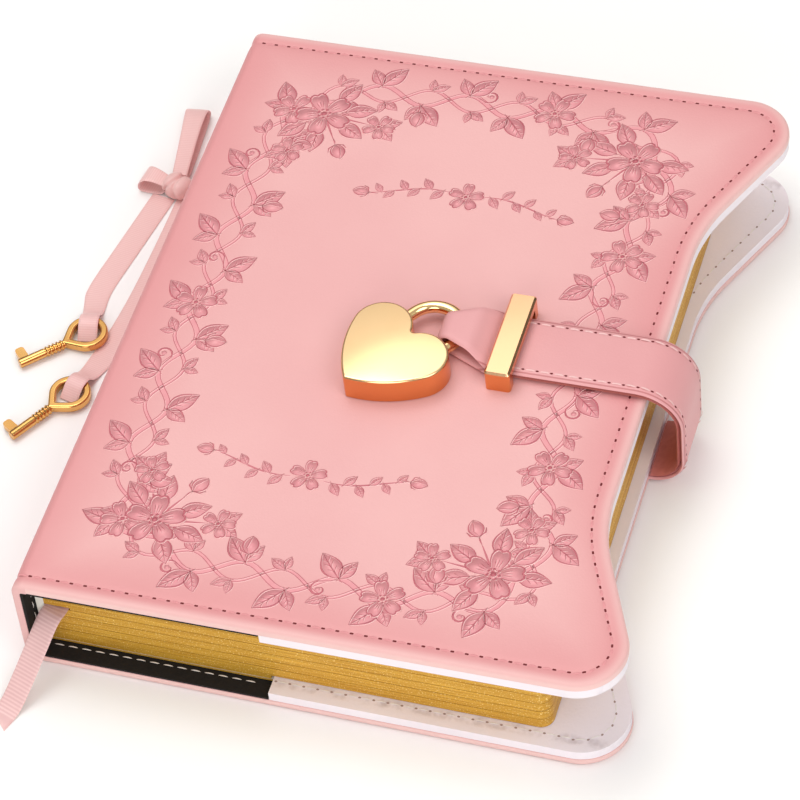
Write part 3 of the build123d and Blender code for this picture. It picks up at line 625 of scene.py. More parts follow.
def lump(length, width, height, low):
    """A small stitch lying along X: an arched bead whose ends go under the surface."""
    rings, sides = 6, 6
    points = []
    for i in range(rings + 1):
        t = i / rings
        swell = sqrt(max(1 - (2 * t - 1) ** 2, 0.0)) * 0.75 + 0.25
        lift = low + (height - low) * sin(pi * t)
        for y, z in arc((0, 0), swell, 0.0, 360.0, sides):
            points.append(((t - 0.5) * length, width / 2 * y, lift + height * 0.45 * z))
    return points, tube_faces(rings + 1, sides)


def oval(length, width, lift):
    """A shallow pad for the mouth of a needle hole, which its finish paints dark as the shade inside
    the hole.
    """
    sides = 10
    outline = [(length / 2 * x, width / 2 * y) for x, y in arc((0, 0), 1.0, 0.0, 360.0, sides)]
    points = [(x, y, z) for z in (lift, -HOLE_DEPTH) for x, y in outline]
    return points, tube_faces(2, sides)


def shifted(shape, along):
    """The same small shape, moved along the seam."""
    points, faces = shape
    return [(x + along, y, z) for x, y, z in points], faces


def thread(name, dark, light):
    """Twisted waxed thread."""
    return grained(name, 2600.0, 2.0, dark, light, 0.75, 0.00008, 0.7, Specular_IOR_Level=0.15)


pink_thread = thread("pink_thread", srgb(212, 140, 144), srgb(228, 160, 162))
white_thread = thread("white_thread", srgb(226, 220, 218), srgb(252, 249, 247))
# Painted shade: dark pads stand for the shade inside the needle holes.
needle_hole = thread("needle_hole", srgb(96, 34, 38), srgb(122, 48, 52))
# Painted shade: greyish pads stand for the shade inside the pocket's needle holes.
pocket_hole = thread("pocket_hole", srgb(146, 122, 119), srgb(174, 153, 149))


def node_tree(name, inputs):
    """A Geometry Nodes tree with named inputs, and the values that come in there."""
    tree = bpy.data.node_groups.new(name, "GeometryNodeTree")
    for key, kind in inputs:
        tree.interface.new_socket(key, in_out="INPUT", socket_type="NodeSocket" + kind)
    tree.interface.new_socket("Made", in_out="OUTPUT", socket_type="NodeSocketGeometry")
    source = tree.nodes.new("NodeGroupInput")
    graph = Graph(tree)
    return graph, {key: Value(graph, source.outputs[key]) for key, kind in inputs}


def stored(graph, name, kind="FLOAT"):
    """A value that is stored on the points."""
    settings = {"data_type": kind}
    return graph.node("GeometryNodeInputNamedAttribute", settings, {"Name": name}, "Attribute")


def set_out(graph, points, shape, finish, **how):
    """Copies of an object on points, made real, with their finish."""
    form = graph.node("GeometryNodeObjectInfo", {}, {"Object": shape}, "Geometry")
    laid = graph.node("GeometryNodeInstanceOnPoints", {}, {"Points": points, "Instance": form, **how})
    real = graph.node("GeometryNodeRealizeInstances", {}, {0: laid})
    return graph.node("GeometryNodeSetMaterial", {}, {0: real, "Material": finish})


def ended(graph, made):
    """The whole tree, which gives all that was made."""
    both = graph.tree.nodes.new("GeometryNodeJoinGeometry")
    for part in made:
        graph.feed(both.inputs[0], part)
    end = graph.tree.nodes.new("NodeGroupOutput")
    graph.tree.links.new(both.outputs[0], end.inputs[0])
    return graph.tree


def seam_tree():
    """Geometry nodes that set a stitch and a needle hole at every pitch along a line."""
    inputs = [("Line", "Geometry"), ("Pitch", "Float")]
    for name in ("Stitch", "Hole"):
        inputs += [(name, "Object"), (name + " finish", "Material")]
    graph, given = node_tree("seam", inputs)
    line = graph.node("GeometryNodeMeshToCurve", {}, {0: given["Line"]})
    steps = {"Curve": line, "Length": given["Pitch"]}
    even = graph.node("GeometryNodeResampleCurve", {"mode": "LENGTH"}, steps)
    along = {"Vector": graph.node("GeometryNodeInputTangent", {}, {})}
    turned = graph.node("FunctionNodeAlignRotationToVector", {"axis": "X"}, along)
    upright = {"Rotation": turned, "Vector": stored(graph, "up", "FLOAT_VECTOR")}
    stand = graph.node("FunctionNodeAlignRotationToVector", {"axis": "Z", "pivot_axis": "X"}, upright)
    made = []
    for name in ("Stitch", "Hole"):
        made.append(set_out(graph, even, given[name], given[name + " finish"], Rotation=stand))
    return ended(graph, made)


sewing = seam_tree()


def plain_mesh(source):
    """What an object comes to, with its modifiers and curves, as a mesh of its own."""
    bpy.context.view_layer.update()
    ready = source.evaluated_get(bpy.context.evaluated_depsgraph_get())
    return bpy.data.meshes.new_from_object(ready)


def grown(name, source, tree, settings):
    """Runs a node tree on an object and keeps its result as a plain mesh piece."""
    grower = source.modifiers.new("grow", "NODES")
    grower.node_group = tree
    for item in tree.interface.items_tree:
        if item.name in settings:
            grower[item.identifier] = settings[item.name]
    source.update_tag()
    mesh = plain_mesh(source)
    mesh.name = name
    mesh.shade_smooth()
    source.modifiers.remove(grower)
    bpy.data.objects.remove(source)
    return placed(name, mesh)


def guide(points, ups):
    """A line of points in millimetres for a node tree, with the way the surface faces."""
    mesh = raw_mesh("guide", points, [(i, i + 1) for i in range(len(points) - 1)])
    facing = mesh.attributes.new("up", "FLOAT_VECTOR", "POINT")
    for item, way in zip(facing.data, ups):
        item.vector = way
    return placed("guide", mesh)


def joined(parts):
    """The meshes of several pieces in the first of them, which alone is kept."""
    work = bmesh.new()
    for part in parts:
        work.from_mesh(part.data)
    work.to_mesh(parts[0].data)
    work.free()
    for part in parts[1:]:
        bpy.data.objects.remove(part)
    return parts[0]


def seam(name, lines, stitch, hole, stitch_finish, hole_finish):
    """Sews stitches along lines of (points, ups), each a pair of equal lists."""
    tools = [piece("stitch", *stitch, stitch_finish), piece("hole", *hole, hole_finish)]
    settings = {
        "Pitch": SEAM_PITCH * MM,
        "Stitch": tools[0],
        "Hole": tools[1],
        "Stitch finish": stitch_finish.material,
        "Hole finish": hole_finish.material,
    }
    sewn = joined([grown(name, guide(*line), sewing, settings) for line in lines])
    for tool in tools:
        bpy.data.objects.remove(tool)
    return sewn


def on_face(points, up):
    """A line for a seam on a flat face, with the way the face looks."""
    return points, [up] * len(points)


cover_stitch = lump(SEAM_PITCH - HOLE_L * 0.8, STITCH_W, STITCH_RISE, -0.10)
front_line = [tilted(x, y, SPINE_T - GROOVE) for x, y in cover_edge(SEAM_INSET)]
front_up = (-sin(radians(TILT)), 0, cos(radians(TILT)))
front_seam = seam(
    "front_seam", [on_face(front_line, front_up)], shifted(cover_stitch, SEAM_PITCH / 2),
    oval(HOLE_L, HOLE_W, 0.05), pink_thread, needle_hole,
)
fit(front_seam, "front", "pink_leather")

inner_stitch = lump(2.3, 0.32, 0.16, 0.02)
inner_hole = shifted(oval(0.7, 0.5, 0.03), SEAM_PITCH / 2)


def inner_seams(side, place, base_z, way, body, more):
    """White seams inside a cover, over its lining near the spine and its pocket beyond."""
    mouth = SPINE_X + POCKET_MOUTH
    up = (Vector(place(0, 0, 1)) - Vector(place(0, 0, 0))) * way
    on_lining = list(more)
    for seam_y in SEAM_YS:
        line = run((FRONT_X, seam_y), (mouth - 1.0, seam_y), 12)
        on_lining.append(on_face([place(x, y, base_z + way * LINED_T) for x, y in line], up))
    line = [p for p in cover_edge(SEAM_INSET) if p[0] > mouth + 1.5]
    on_pocket = [on_face([place(x, y, base_z + way * STACK_T) for x, y in line], up)]
    for name, lines, hole, slot in (
        ("_lining_seam", on_lining, black_lining, "black_lining"),
        ("_pocket_seam", on_pocket, pocket_hole, "white_leather"),
    ):
        fit(seam(side + name, lines, inner_stitch, inner_hole, white_thread, hole), body, slot)


spine_seams = []
for seam_y in SEAM_YS:
    foot = (SPINE_X + LINED_T, seam_y, LINED_T + 2.0)
    spine_seams.append(on_face(run(foot, (SPINE_X + LINED_T, seam_y, BEND_Z), 8), (1, 0, 0)))
inner_seams("back", level, 0.0, 1, "diary_base", spine_seams)
inner_seams("front", tilted, SPINE_T, -1, "front", [])

# Stamped border. A hot die presses a garland of leaves, blossoms and curling stems into the
# front cover: the pressed leather darkens, and its drawn lines darken most. A paler copy of the
# lines, shifted a little to one side, is a painted highlight on the edges of the grooves.
STAMP_STEP = 0.008
STAMP_T = 0.18
STAMP_LEVELS = {"stem": 0.01, "tendril": 0.03, "leaf": 0.05, "bud": 0.09, "blossom": 0.11}
HALF_GARLAND = [
    # middle line of the border's upper half, from the spine face and the middle of the cover
    (16.0, 42.0), (17.0, 66.0), (27.0, 76.5), (52.0, 77.5), (84.0, 77.5),
    (108.0, 76.0), (119.5, 66.0), (113.0, 44.0), (110.0, 24.0),
]
GARLAND = [(16.0, 0.0)] + HALF_GARLAND + [(x, -y) for x, y in reversed(HALF_GARLAND)]
WAVES = 21
WAVE_H = 2.9
WAVE_STEPS = WAVES * 16
SECOND_STEM = pi * 0.86
STEMS = [
    # phase of the wave, width
    (0.0, 1.25), (SECOND_STEM, 0.75),
]
STEM_LINE = 0.24
LEAF = 8.6
SPRIGS = [
    # motif, on one bow of the stem in so many, the first, turn to its side, size, moved outwards
    ("leaf", 1, 0, 48, LEAF, 0.0), ("leaf", 1, 0, 118, LEAF * 0.72, 0.0),
    ("tendril", 3, 0, -20, LEAF * 0.9, 0.0), ("bud", 4, 1, 84, LEAF * 0.62, 2.2),
    ("blossom", 6, 2, 0, 5.4, -2.0),
]
CORNERS = [(27.0, 67.0), (27.0, -67.0), (108.0, 66.0), (108.0, -66.0)]
COVER_MID = 67.0
CORNER_LEAVES = (-150, -105, -60, 60, 105, 150)
CORNER_LEAF_AT = 5.4
CORNER_BLOSSOM = 7.4
CORNER_TWIGS = [
    # turn from the corner, length
    (-128, 15.0), (128, 15.0), (180, 11.5),
]
TWIG_LINE = 0.55
TWIG_BLOSSOM = 4.3
PLAIN_SPRIGS = [
    # middle, and the way that its twigs arch
    (70.0, 46.0, 1), (58.0, -47.0, -1),
]
TWIG_FROM, TWIG_TO = 4, 25


def stamped_finish(name, tone, deeper):
    """Leather that the hot die has pressed smooth."""
    finish = Finish(name)
    at = finish.place()
    press = finish.noise(at, 260.0, 3.0).fade(0.3, 0.7)
    finish.surface(Base_Color=finish.mix(press, tone, deeper), Roughness=0.36, Specular_IOR_Level=0.45)
    finish.surface(Normal=finish.bump(finish.noise(at, 900.0, 4.0), 0.00004, 0.5))
    return finish


stamp_fill = stamped_finish("stamp_fill", srgb(229, 156, 161), srgb(224, 146, 153))
stamp_line = stamped_finish("stamp_line", srgb(201, 111, 121), srgb(189, 99, 110))
stamp_lip = stamped_finish("stamp_lip", srgb(240, 192, 190), srgb(244, 202, 200))


def smooth_line(points, closed=False, order=3, fine=12):
    """Points of a NURBS curve on the given control points, in millimetres."""
    data = bpy.data.curves.new("line", "CURVE")
    data.dimensions = "3D"
    spline = data.splines.new("NURBS")
    spline.points.add(len(points) - 1)
    for item, p in zip(spline.points, points):
        item.co = (*p, 1.0)
    spline.order_u = order
    spline.use_cyclic_u = closed
    spline.use_endpoint_u = not closed
    spline.resolution_u = fine
    holder = placed("line", data)
    found = [v.co.copy() for v in plain_mesh(holder).vertices]
    bpy.data.objects.remove(holder)
    return found


class Drawing:
    """Flat shapes in millimetres that end up as one mesh."""

    def __init__(self):
        self.points = []
        self.faces = []

    def patch(self, outline):
        first = len(self.points)
        self.points += [(x, y, 0.0) for x, y in outline]
        self.faces.append(tuple(range(first, len(self.points))))

    def disc(self, x, y, radius, sides):
        self.patch(arc((x, y), radius, 0.0, 360.0, sides))

    def stroke(self, line, width, taper=True):
        first = len(self.points)
        n = len(line)
        for i, (x, y) in enumerate(line):
            a, b = line[max(i - 1, 0)], line[min(i + 1, n - 1)]
            dx, dy = b[0] - a[0], b[1] - a[1]
            size = hypot(dx, dy) or 1.0
            w = width / 2 * (0.25 + 0.75 * sin(pi * i / (n - 1)) if taper else 1.0)
            self.points.append((x - dy / size * w, y + dx / size * w, 0.0))
            self.points.append((x + dy / size * w, y - dx / size * w, 0.0))
        self.faces += [(a, a + 1, a + 3, a + 2) for a in range(first, first + 2 * n - 2, 2)]


def polar(reach, turn_to):
    """A point at a distance from the middle, on an angle in radians."""
    return (reach * cos(turn_to), reach * sin(turn_to))


def draw_lens(fill, lines, upper, thick, thin):
    """Fills the shape between a line and its mirror image, and draws both."""
    lower = [(x, -y) for x, y in upper]
    fill.patch(lower + upper[::-1][1:-1])
    lines.stroke(upper, thick)
    lines.stroke(lower, thin)


def draw_leaf(fill, lines):
    """A pointed leaf of length 1 with its veins, from its stalk to its tip."""
    shares = [i / 9 for i in range(10)]
    upper = [(t, 0.29 * sin(pi * t) ** 0.85 * (1.18 - 0.5 * t)) for t in shares]
    draw_lens(fill, lines, upper, 0.052, 0.040)
    lines.stroke([(-0.16, 0.0), (0.2, 0.015), (0.55, 0.02), (0.92, 0.0)], 0.044)
    for t in (0.26, 0.46, 0.64):
        for side in (-1, 1):
            lines.stroke([(t, 0.015), (t + 0.11, side * 0.075), (t + 0.17, side * 0.14)], 0.026)


def draw_blossom(fill, lines):
    """A five-petalled flower of radius 1 with a ring of stamens."""
    for i in range(5):
        a = 2 * pi * i / 5
        petal = []
        for k in range(13):
            t = -1 + k / 6
            reach = 0.30 + 0.70 * (1 - abs(t) ** 2.6) - 0.10 * max(0.0, 1 - abs(t) * 4)
            petal.append(polar(reach, a + t * 0.60))
        fill.patch([polar(0.22, a - 0.5)] + petal + [polar(0.22, a + 0.5)])
        lines.stroke(petal, 0.075)
        for spread in (-0.2, 0.0, 0.2):
            lines.stroke([polar(reach, a + spread) for reach in (0.28, 0.45, 0.60)], 0.035)
    for x, y in arc((0, 0), 0.2, 0.0, 360.0, 7):
        lines.disc(x, y, 0.05, 6)
    lines.disc(0.0, 0.0, 0.1, 10)


def draw_bud(fill, lines):
    """A closed bud of length 1 on its stalk."""
    upper = [(t, 0.34 * sin(pi * t) ** 0.7) for t in [i / 8 for i in range(9)]]
    draw_lens(fill, lines, upper, 0.07, 0.07)
    lines.stroke([(0.05, 0.0), (0.35, 0.14), (0.75, 0.06), (0.96, 0.0)], 0.05)
    lines.stroke([(-0.5, 0.0), (-0.2, 0.02), (0.0, 0.0)], 0.07)
    for side in (-1, 1):
        lines.stroke([(0.0, 0.0), (0.16, side * 0.36), (0.42, side * 0.46)], 0.08)


def draw_tendril(fill, lines):
    """A curl of radius about 0.3 at the end of a short stalk, round a berry."""
    curl = [(0.0, 0.0), (0.25, 0.05), (0.5, 0.02)]
    for k in range(15):
        x, y = polar(0.30 * (1 - k / 18), -pi / 2 + k * 0.42)
        curl.append((0.62 + x, 0.30 + y))
    lines.stroke(curl, 0.07)
    fill.disc(0.66, 0.30, 0.09, 8)


motifs, marks = {}, {}
for kind, draw in (
    ("leaf", draw_leaf), ("blossom", draw_blossom), ("bud", draw_bud), ("tendril", draw_tendril),
):
    motifs[kind] = (Drawing(), Drawing())
    marks[kind] = []
    draw(*motifs[kind])


def mark(kind, x, y, heading, size, layer=0):
    """Notes the place of a motif, its heading in degrees and its size."""
    z = STAMP_LEVELS[kind] + layer * 2 * STAMP_STEP
    marks[kind].append((x, y, z, radians(heading), size))


middle_line = smooth_line([(SPINE_X + x, y, 0.0) for x, y in GARLAND], True, 4, 24)
lengths = [0.0]
for a, b in zip(middle_line, middle_line[1:] + middle_line[:1]):
    lengths.append(lengths[-1] + (b - a).length)


def on_line(share):
    """Place and heading of the border's middle line at a share of its length."""
    want = (share % 1.0) * lengths[-1]
    i = max(k for k in range(len(middle_line)) if lengths[k] <= want)
    a, b = middle_line[i], middle_line[(i + 1) % len(middle_line)]
    t = (want - lengths[i]) / max((b - a).length, 1e-9)
    return a + (b - a) * t, (b - a).normalized()


def on_stem(share, phase=0.0):
    """Point of a winding stem at a share of the border."""
    p, along = on_line(share)
    sway = WAVE_H * sin(2 * pi * (WAVES * share) + phase)
    return (p.x - along.y * sway, p.y + along.x * sway)


def beside(loop, reach):
    """A line that comes back to its first point, moved to its left by reach."""
    last = len(loop) - 1
    moved = []
    for i, (x, y) in enumerate(loop):
        a, b = loop[i - 1 if i else last - 1], loop[i + 1 if i < last else 1]
        dx, dy = b[0] - a[0], b[1] - a[1]
        size = hypot(dx, dy)
        moved.append((x - dy / size * reach, y + dx / size * reach))
    return moved


stem_fill, stem_lines = Drawing(), Drawing()
for phase, wide in STEMS:
    stem = [on_stem(i / WAVE_STEPS, phase) for i in range(WAVE_STEPS + 1)]
    stem_fill.stroke(stem, wide, False)
    for side in (-1, 1):
        stem_lines.stroke(beside(stem, side * wide / 2), STEM_LINE, False)

for k in range(2 * WAVES):
    share = (k + 0.5) / (2 * WAVES)
    along = on_line(share)[1]
    heading = degrees(atan2(along.y, along.x))
    side = 1 if k % 2 == 0 else -1
    x, y = on_stem(share)
    for kind, every, first, lean, size, out in SPRIGS:
        if k % every == first:
            at = (x - along.y * side * out, y + along.x * side * out)
            mark(kind, *at, heading + side * lean, size)
    x, y = on_stem(share - 0.43 / WAVES, SECOND_STEM)
    mark("leaf", x, y, heading + side * 30, LEAF * 0.55)
    mark("leaf", x, y, heading + side * 96, LEAF * 0.45)

for from_spine, y in CORNERS:
    x = SPINE_X + from_spine
    tip = degrees(atan2(y, from_spine - COVER_MID))
    mark("blossom", x, y, tip, CORNER_BLOSSOM, 1)
    for spread in CORNER_LEAVES:
        dx, dy = polar(CORNER_LEAF_AT, radians(tip + spread))
        mark("leaf", x + dx, y + dy, tip + spread, LEAF * 0.95, 1)
    for spread, reach in CORNER_TWIGS:
        dx, dy = polar(reach, radians(tip + spread))
        end = (x + dx, y + dy)
        stem_lines.stroke(run((x, y), end, 6), TWIG_LINE)
        if spread == 180:
            mark("bud", *end, tip + spread, LEAF * 0.6)
        else:
            mark("blossom", *end, tip + spread, TWIG_BLOSSOM)
            mark("leaf", *end, tip + spread - 35, LEAF * 0.72)
            mark("leaf", *end, tip + spread + 35, LEAF * 0.72)

for from_spine, y, arch in PLAIN_SPRIGS:
    x = SPINE_X + from_spine
    mark("blossom", x, y, 18, 4.6)
    for way, heading in ((-1, 180), (1, 0)):
        twig = []
        for t in range(TWIG_FROM, TWIG_TO):
            twig.append((x + way * t, y + arch * (1.6 * sin(t / 5.5) - 0.06 * t)))
        stem_lines.stroke(twig, 0.5)
        for t in range(6, 24, 3):
            bend = 1 if (t // 3) % 2 else -1
            mark("leaf", *twig[t - TWIG_FROM], heading + way * bend * 52, 4.6 - t * 0.06)
        mark("bud", *twig[-1], heading, 4.2)


def stamp_tree():
    """Geometry nodes that set one motif on every point, turned and sized by the point."""
    inputs = [("Points", "Geometry"), ("Motif", "Object"), ("Finish", "Material")]
    graph, given = node_tree("stamp", inputs)
    spin = graph.node("ShaderNodeCombineXYZ", {}, {2: stored(graph, "turn")})
    how = {"Rotation": graph.node("FunctionNodeEulerToRotation", {}, {0: spin})}
    how["Scale"] = stored(graph, "size")
    return ended(graph, [set_out(graph, given["Points"], given["Motif"], given["Finish"], **how)])


stamping = stamp_tree()


def flat_piece(name, drawing, finish):
    """A drawing as a flat piece facing up."""
    mesh = raw_mesh(name, drawing.points, faces=drawing.faces)
    work = bmesh.new()
    work.from_mesh(mesh)
    for item in work.faces:
        item.normal_update()
        if item.normal.z < 0:
            item.normal_flip()
    work.to_mesh(mesh)
    work.free()
    mesh.materials.append(finish.material)
    return placed(name, mesh)


cover_place = Matrix.Translation((HINGE[0] * MM, 0, HINGE[1] * MM))
cover_place = cover_place @ Matrix.Rotation(-radians(TILT), 4, "Y") @ cover_place.inverted()


def stamped(name, finish, layer, stems, shift=(0.0, 0.0, 0.0)):
    """All the motifs of one layer and the stems, joined, shifted and laid on the front cover."""
    parts = [flat_piece(name, stems, finish)]
    parts[0].data.transform(Matrix.Translation((0, 0, STAMP_LEVELS["stem"] * MM)))
    for kind, places in marks.items():
        motif = flat_piece("motif", motifs[kind][layer], finish)
        motif.data.transform(Matrix.Scale(1 / MM, 4))
        mesh = raw_mesh("points", [place[:3] for place in places])
        for key, values in (("turn", [p[3] for p in places]), ("size", [p[4] * MM for p in places])):
            mesh.attributes.new(key, "FLOAT", "POINT").data.foreach_set("value", values)
        settings = {"Motif": motif, "Finish": finish.material}
        parts.append(grown(name, placed("points", mesh), stamping, settings))
        bpy.data.objects.remove(motif)
    made = joined(parts)
    lift = Vector((0, 0, SPINE_T + layer * STAMP_STEP)) + Vector(shift)
    made.data.transform(cover_place @ Matrix.Translation(lift * MM))
    depth = made.modifiers.new("depth", "SOLIDIFY")
    depth.thickness = STAMP_T * MM
    depth.offset = -1.0
    fit(made, "front", "pink_leather")


stamped("stamped_shapes", stamp_fill, 0, stem_fill)
# Painted highlight: a paler copy of the drawn lines, shifted to one side of them.
stamped("stamped_lips", stamp_lip, 1, stem_lines, (0.14, -0.12, -STAMP_STEP / 2))
stamped("stamped_drawing", stamp_line, 1, stem_lines)

# Bookmark. A woven satin ribbon is glued in at the head of the block, lies on its section
# and hangs out at the tail, where it bends down to the table and lies there.
PAGE_HALF = 87.5
MARK_W = 6.0
MARK_T = 0.4
MARK_HEAD = 13.0
MARK_RUN = 27.0
MARK_DRIFT = 20.0
MARK_SLANT = 0.5
MARK_X = SPINE_X + 8.3
MARK_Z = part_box("bookmark_ribbon")[1].z / MM - MARK_T / 2
MARK_FALL = [
    # distance out from the block, height
    (3.0, MARK_Z), (8.5, 10.8), (15.0, 5.0), (21.0, MARK_T / 2), (23.5, MARK_T / 2),
]
CROSS = 8


def satin_ribbon(name, dark, light, rib, depth):
    """Ribbon with cross ribs every rib millimetres along its length, as deep as depth."""
    finish = Finish(name)
    length = finish.axis(finish.place("UV"), "X")
    ribs = (length * (2 * pi / (rib * MM))).wave() * 0.5 + 0.5
    slub = finish.noise(finish.place(), 300.0, 3.0)
    tone = finish.mix(ribs * 0.7 + slub * 0.3, dark, light)
    finish.surface(Base_Color=tone, Roughness=0.36 + slub * 0.14, Sheen_Weight=0.25)
    finish.surface(Normal=finish.bump(ribs + slub * 0.3, depth, 0.6))
    return finish


def ribbon(name, line, across, widths, thick, finish, slant=0.0):
    """A flat band along a line of points, with soft edges and UVs in metres along it. It lies
    level where no direction across it is given. Its last end is cut at a slant, given as a
    share of the half width."""
    points, uvs = [], []
    last = len(line) - 1
    far = 0.0
    for i, p in enumerate(line):
        far += (p - line[max(i - 1, 0)]).length
        along = (line[min(i + 1, last)] - line[max(i - 1, 0)]).normalized()
        side = Vector(across or (-along.y, along.x, 0))
        side = (side - along * side.dot(along)).normalized()
        up = along.cross(side).normalized()
        half = widths[i] / 2
        for face_way in (1, -1):
            for k in range(CROSS + 1):
                t = sin((k / CROSS - 0.5) * pi) * face_way
                soft = sqrt(max(1 - abs(t) ** 12, 0.0))
                cut = along * (slant * half * (t + 1)) if i == last else Vector()
                points.append(p + side * (half * t) + up * (face_way * thick / 2 * soft) + cut)
                uvs.append((far * MM, t * half * MM))
    faces = tube_faces(len(line), 2 * (CROSS + 1))
    return piece(name, points, faces, finish, 50.0, uvs=uvs)


def limp_cord(line):
    """Adds up the length of a line, and keeps nothing of it."""
    length = sum((b - a).length for a, b in zip(line, line[1:]))


mark_satin = satin_ribbon("mark_satin", srgb(218, 172, 172), srgb(238, 200, 198), 0.9, 0.00006)
mark_route = [(MARK_X, PAGE_HALF - MARK_HEAD - MARK_RUN * i, MARK_Z) for i in range(6)]
mark_route += [(MARK_X, -PAGE_HALF + 9.0, MARK_Z), (MARK_X, -PAGE_HALF, MARK_Z)]
for reach, z in MARK_FALL:
    dx, dy = polar(reach, radians(270 - MARK_DRIFT))
    mark_route.append((MARK_X + dx, -PAGE_HALF + dy, z))
mark_line = smooth_line(mark_route)
mark_widths = [MARK_W] * len(mark_line)
bookmark = ribbon("bookmark", mark_line, None, mark_widths, MARK_T, mark_satin, MARK_SLANT)
fit(bookmark, "diary_base", "satin", "bookmark_ribbon")
limp_cord(mark_line)

# Keeper. A cast bridge of pale gold is screwed to the front cover from inside, and the
# strap slides under it.
GOLD_WALL_REFLECTION = srgb(232, 158, 98)


def polished_gold(name, bright, deep, rough, domed="", dome=0.0):
    """Polished gold plating, faintly clouded by handling. The flat top of a domed node is
    rounded off, and the walls beside it are painted a redder gold, a painted reflection of the
    shaded pink leather beside them."""
    finish = Finish(name)
    at = finish.place()
    cloud = finish.noise(at, 90.0, 3.0)
    tone = finish.mix(cloud, deep, bright)
    height = cloud * 0.000008
    if domed:
        facing = finish.axis(finish.place("Normal"), "Z")
        # Painted reflection: the upright walls get a redder gold.
        tone = finish.mix(abs(facing).fade(0.2, 0.7), GOLD_WALL_REFLECTION, tone)
        low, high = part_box(domed)
        off_x = finish.axis(at, "X") - (low.x + high.x) / 2
        off_y = finish.axis(at, "Y") - (low.y + high.y) / 2
        height = height - (off_x * off_x + off_y * off_y) * dome
    finish.surface(Base_Color=tone, Metallic=1.0)
    finish.surface(Roughness=rough + cloud.fade(0.4, 0.8) * 0.05)
    finish.surface(Normal=finish.bump(height, 1.0))
    return finish


plated_gold = polished_gold(
    "plated_gold", srgb(249, 201, 158), srgb(243, 193, 146), 0.18, "keeper", 0.9
)
dress(plated_gold, "keeper", "keeper_screws")

# Strap. Two plies of leather sewn together at the edges: the outer ply goes on beyond the
# keeper, narrows to a tip and is folded back into the loop that holds the padlock.
STRAP_W = 18.0
STRAP_CREASE = 8.25
STRAP_T = 1.2
STRAP_LINING = 1.0
STRAP_GLUE = 0.05
STRAP_SEAT = 0.3
STRAP_SEWN = 24.0
STRAP_LOW_R = 8.0
STRAP_TOP_R = 11.0
OUT_X = WAIST_X + 0.5 + STRAP_LOW_R
KEEPER_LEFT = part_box("keeper")[0].x / MM
TIP_X = SPINE_X + 77.6
TIP_W = 8.6
TIP_STRAIGHT = 2.0
ROD_H = 3.4
BASE_Z = 1.0 + STRAP_T / 2
RUN_H = STRAP_SEAT + STRAP_LINING + STRAP_GLUE + STRAP_T / 2
LOOP_LOW = STRAP_SEAT + STRAP_T / 2
LOOP_HIGH = 2 * ROD_H - LOOP_LOW
LOOP_END = KEEPER_LEFT - 1.2
LOOP_RISE_X = KEEPER_LEFT - (LOOP_HIGH - RUN_H) * 1.4
LOOP_RISE_R = (5.0, 3.5)
FOLD_R = (LOOP_HIGH - LOOP_LOW) / 2 * 0.98
STRAP_SEAM = 1.75
SEAM_SINK = 0.06
SEAM_FROM = WAIST_X + 0.8
SEAM_TO = KEEPER_LEFT + 7.4
strap_leather = pink_leather(
    "strap_leather", srgb(221, 157, 159), srgb(226, 166, 167), crease=STRAP_CREASE
)
# The strap's inner ply: a darker leather of its own, painted darker still as painted shade under the
# strap.
strap_back = grained(
    "strap_back", 800.0, 4.0, srgb(176, 98, 92), srgb(200, 120, 112), 0.62, 0.00006, 0.6
)


def bent_path(corners, radii, step=0.8):
    """Points of a side-view path of straight runs joined by tangent bends."""
    spots = [Vector((x, 0, z)) for x, z in corners]
    points = spots[:1]
    for before, here, after, radius in zip(spots, spots[1:], spots[2:], radii):
        into, out = (here - before).normalized(), (after - here).normalized()
        bend = into.angle(out)
        normal = (out - into * into.dot(out)).normalized()
        centre = here - into * (radius * tan(bend / 2)) + normal * radius
        count = max(int(radius * bend / step), 4)
        for k in range(count + 1):
            t = bend * k / count
            points.append(centre - normal * (radius * cos(t)) + into * (radius * sin(t)))
    points.append(spots[-1])
    filled = points[:1]
    for a, b in zip(points, points[1:]):
        count = max(int((b - a).length / step), 1)
        filled += [a + (b - a) * ((k + 1) / count) for k in range(count)]
    return filled


def over(x, h):
    """Side-view point at height h over the front cover."""
    p = tilted(x, 0, SPINE_T + h)
    return (p[0], p[2])


def strap_width(p):
    """The strap narrows evenly between the keeper and its tip."""
    if p.z < SPINE_T or p.x > LOOP_END:
        return STRAP_W
    share = (p.x - TIP_X - TIP_STRAIGHT) / (LOOP_END - TIP_X - TIP_STRAIGHT)
    return TIP_W + (STRAP_W - TIP_W) * min(max(share, 0.0), 1.0)


outer_corners = [
    (WAIST_X - STRAP_SEWN, BASE_Z), (OUT_X, BASE_Z), (OUT_X, over(OUT_X, RUN_H)[1]),
    over(KEEPER_LEFT, RUN_H), over(LOOP_RISE_X, LOOP_HIGH), over(TIP_X, LOOP_HIGH),
    over(TIP_X, LOOP_LOW), over(LOOP_END, LOOP_LOW),
]
outer_path = bent_path(outer_corners, [STRAP_LOW_R, STRAP_TOP_R, *LOOP_RISE_R, FOLD_R, FOLD_R])
strap_side = (0, -1, 0)
strap_widths = [strap_width(p) for p in outer_path]
strap_outer = ribbon("strap_outer", outer_path, strap_side, strap_widths, STRAP_T, strap_leather)
ply = (STRAP_T + STRAP_LINING) / 2 + STRAP_GLUE
inner_x = OUT_X - ply
inner_corners = [
    (WAIST_X + 0.4, BASE_Z + ply), (inner_x, BASE_Z + ply),
    (inner_x, over(inner_x, RUN_H - ply)[1]), over(KEEPER_LEFT - 0.6, RUN_H - ply),
]
inner_path = bent_path(inner_corners, [STRAP_LOW_R - ply, STRAP_TOP_R - ply])
inner_widths = [STRAP_W - 0.4] * len(inner_path)
strap_inner = ribbon("strap_inner", inner_path, strap_side, inner_widths, STRAP_LINING, strap_back)

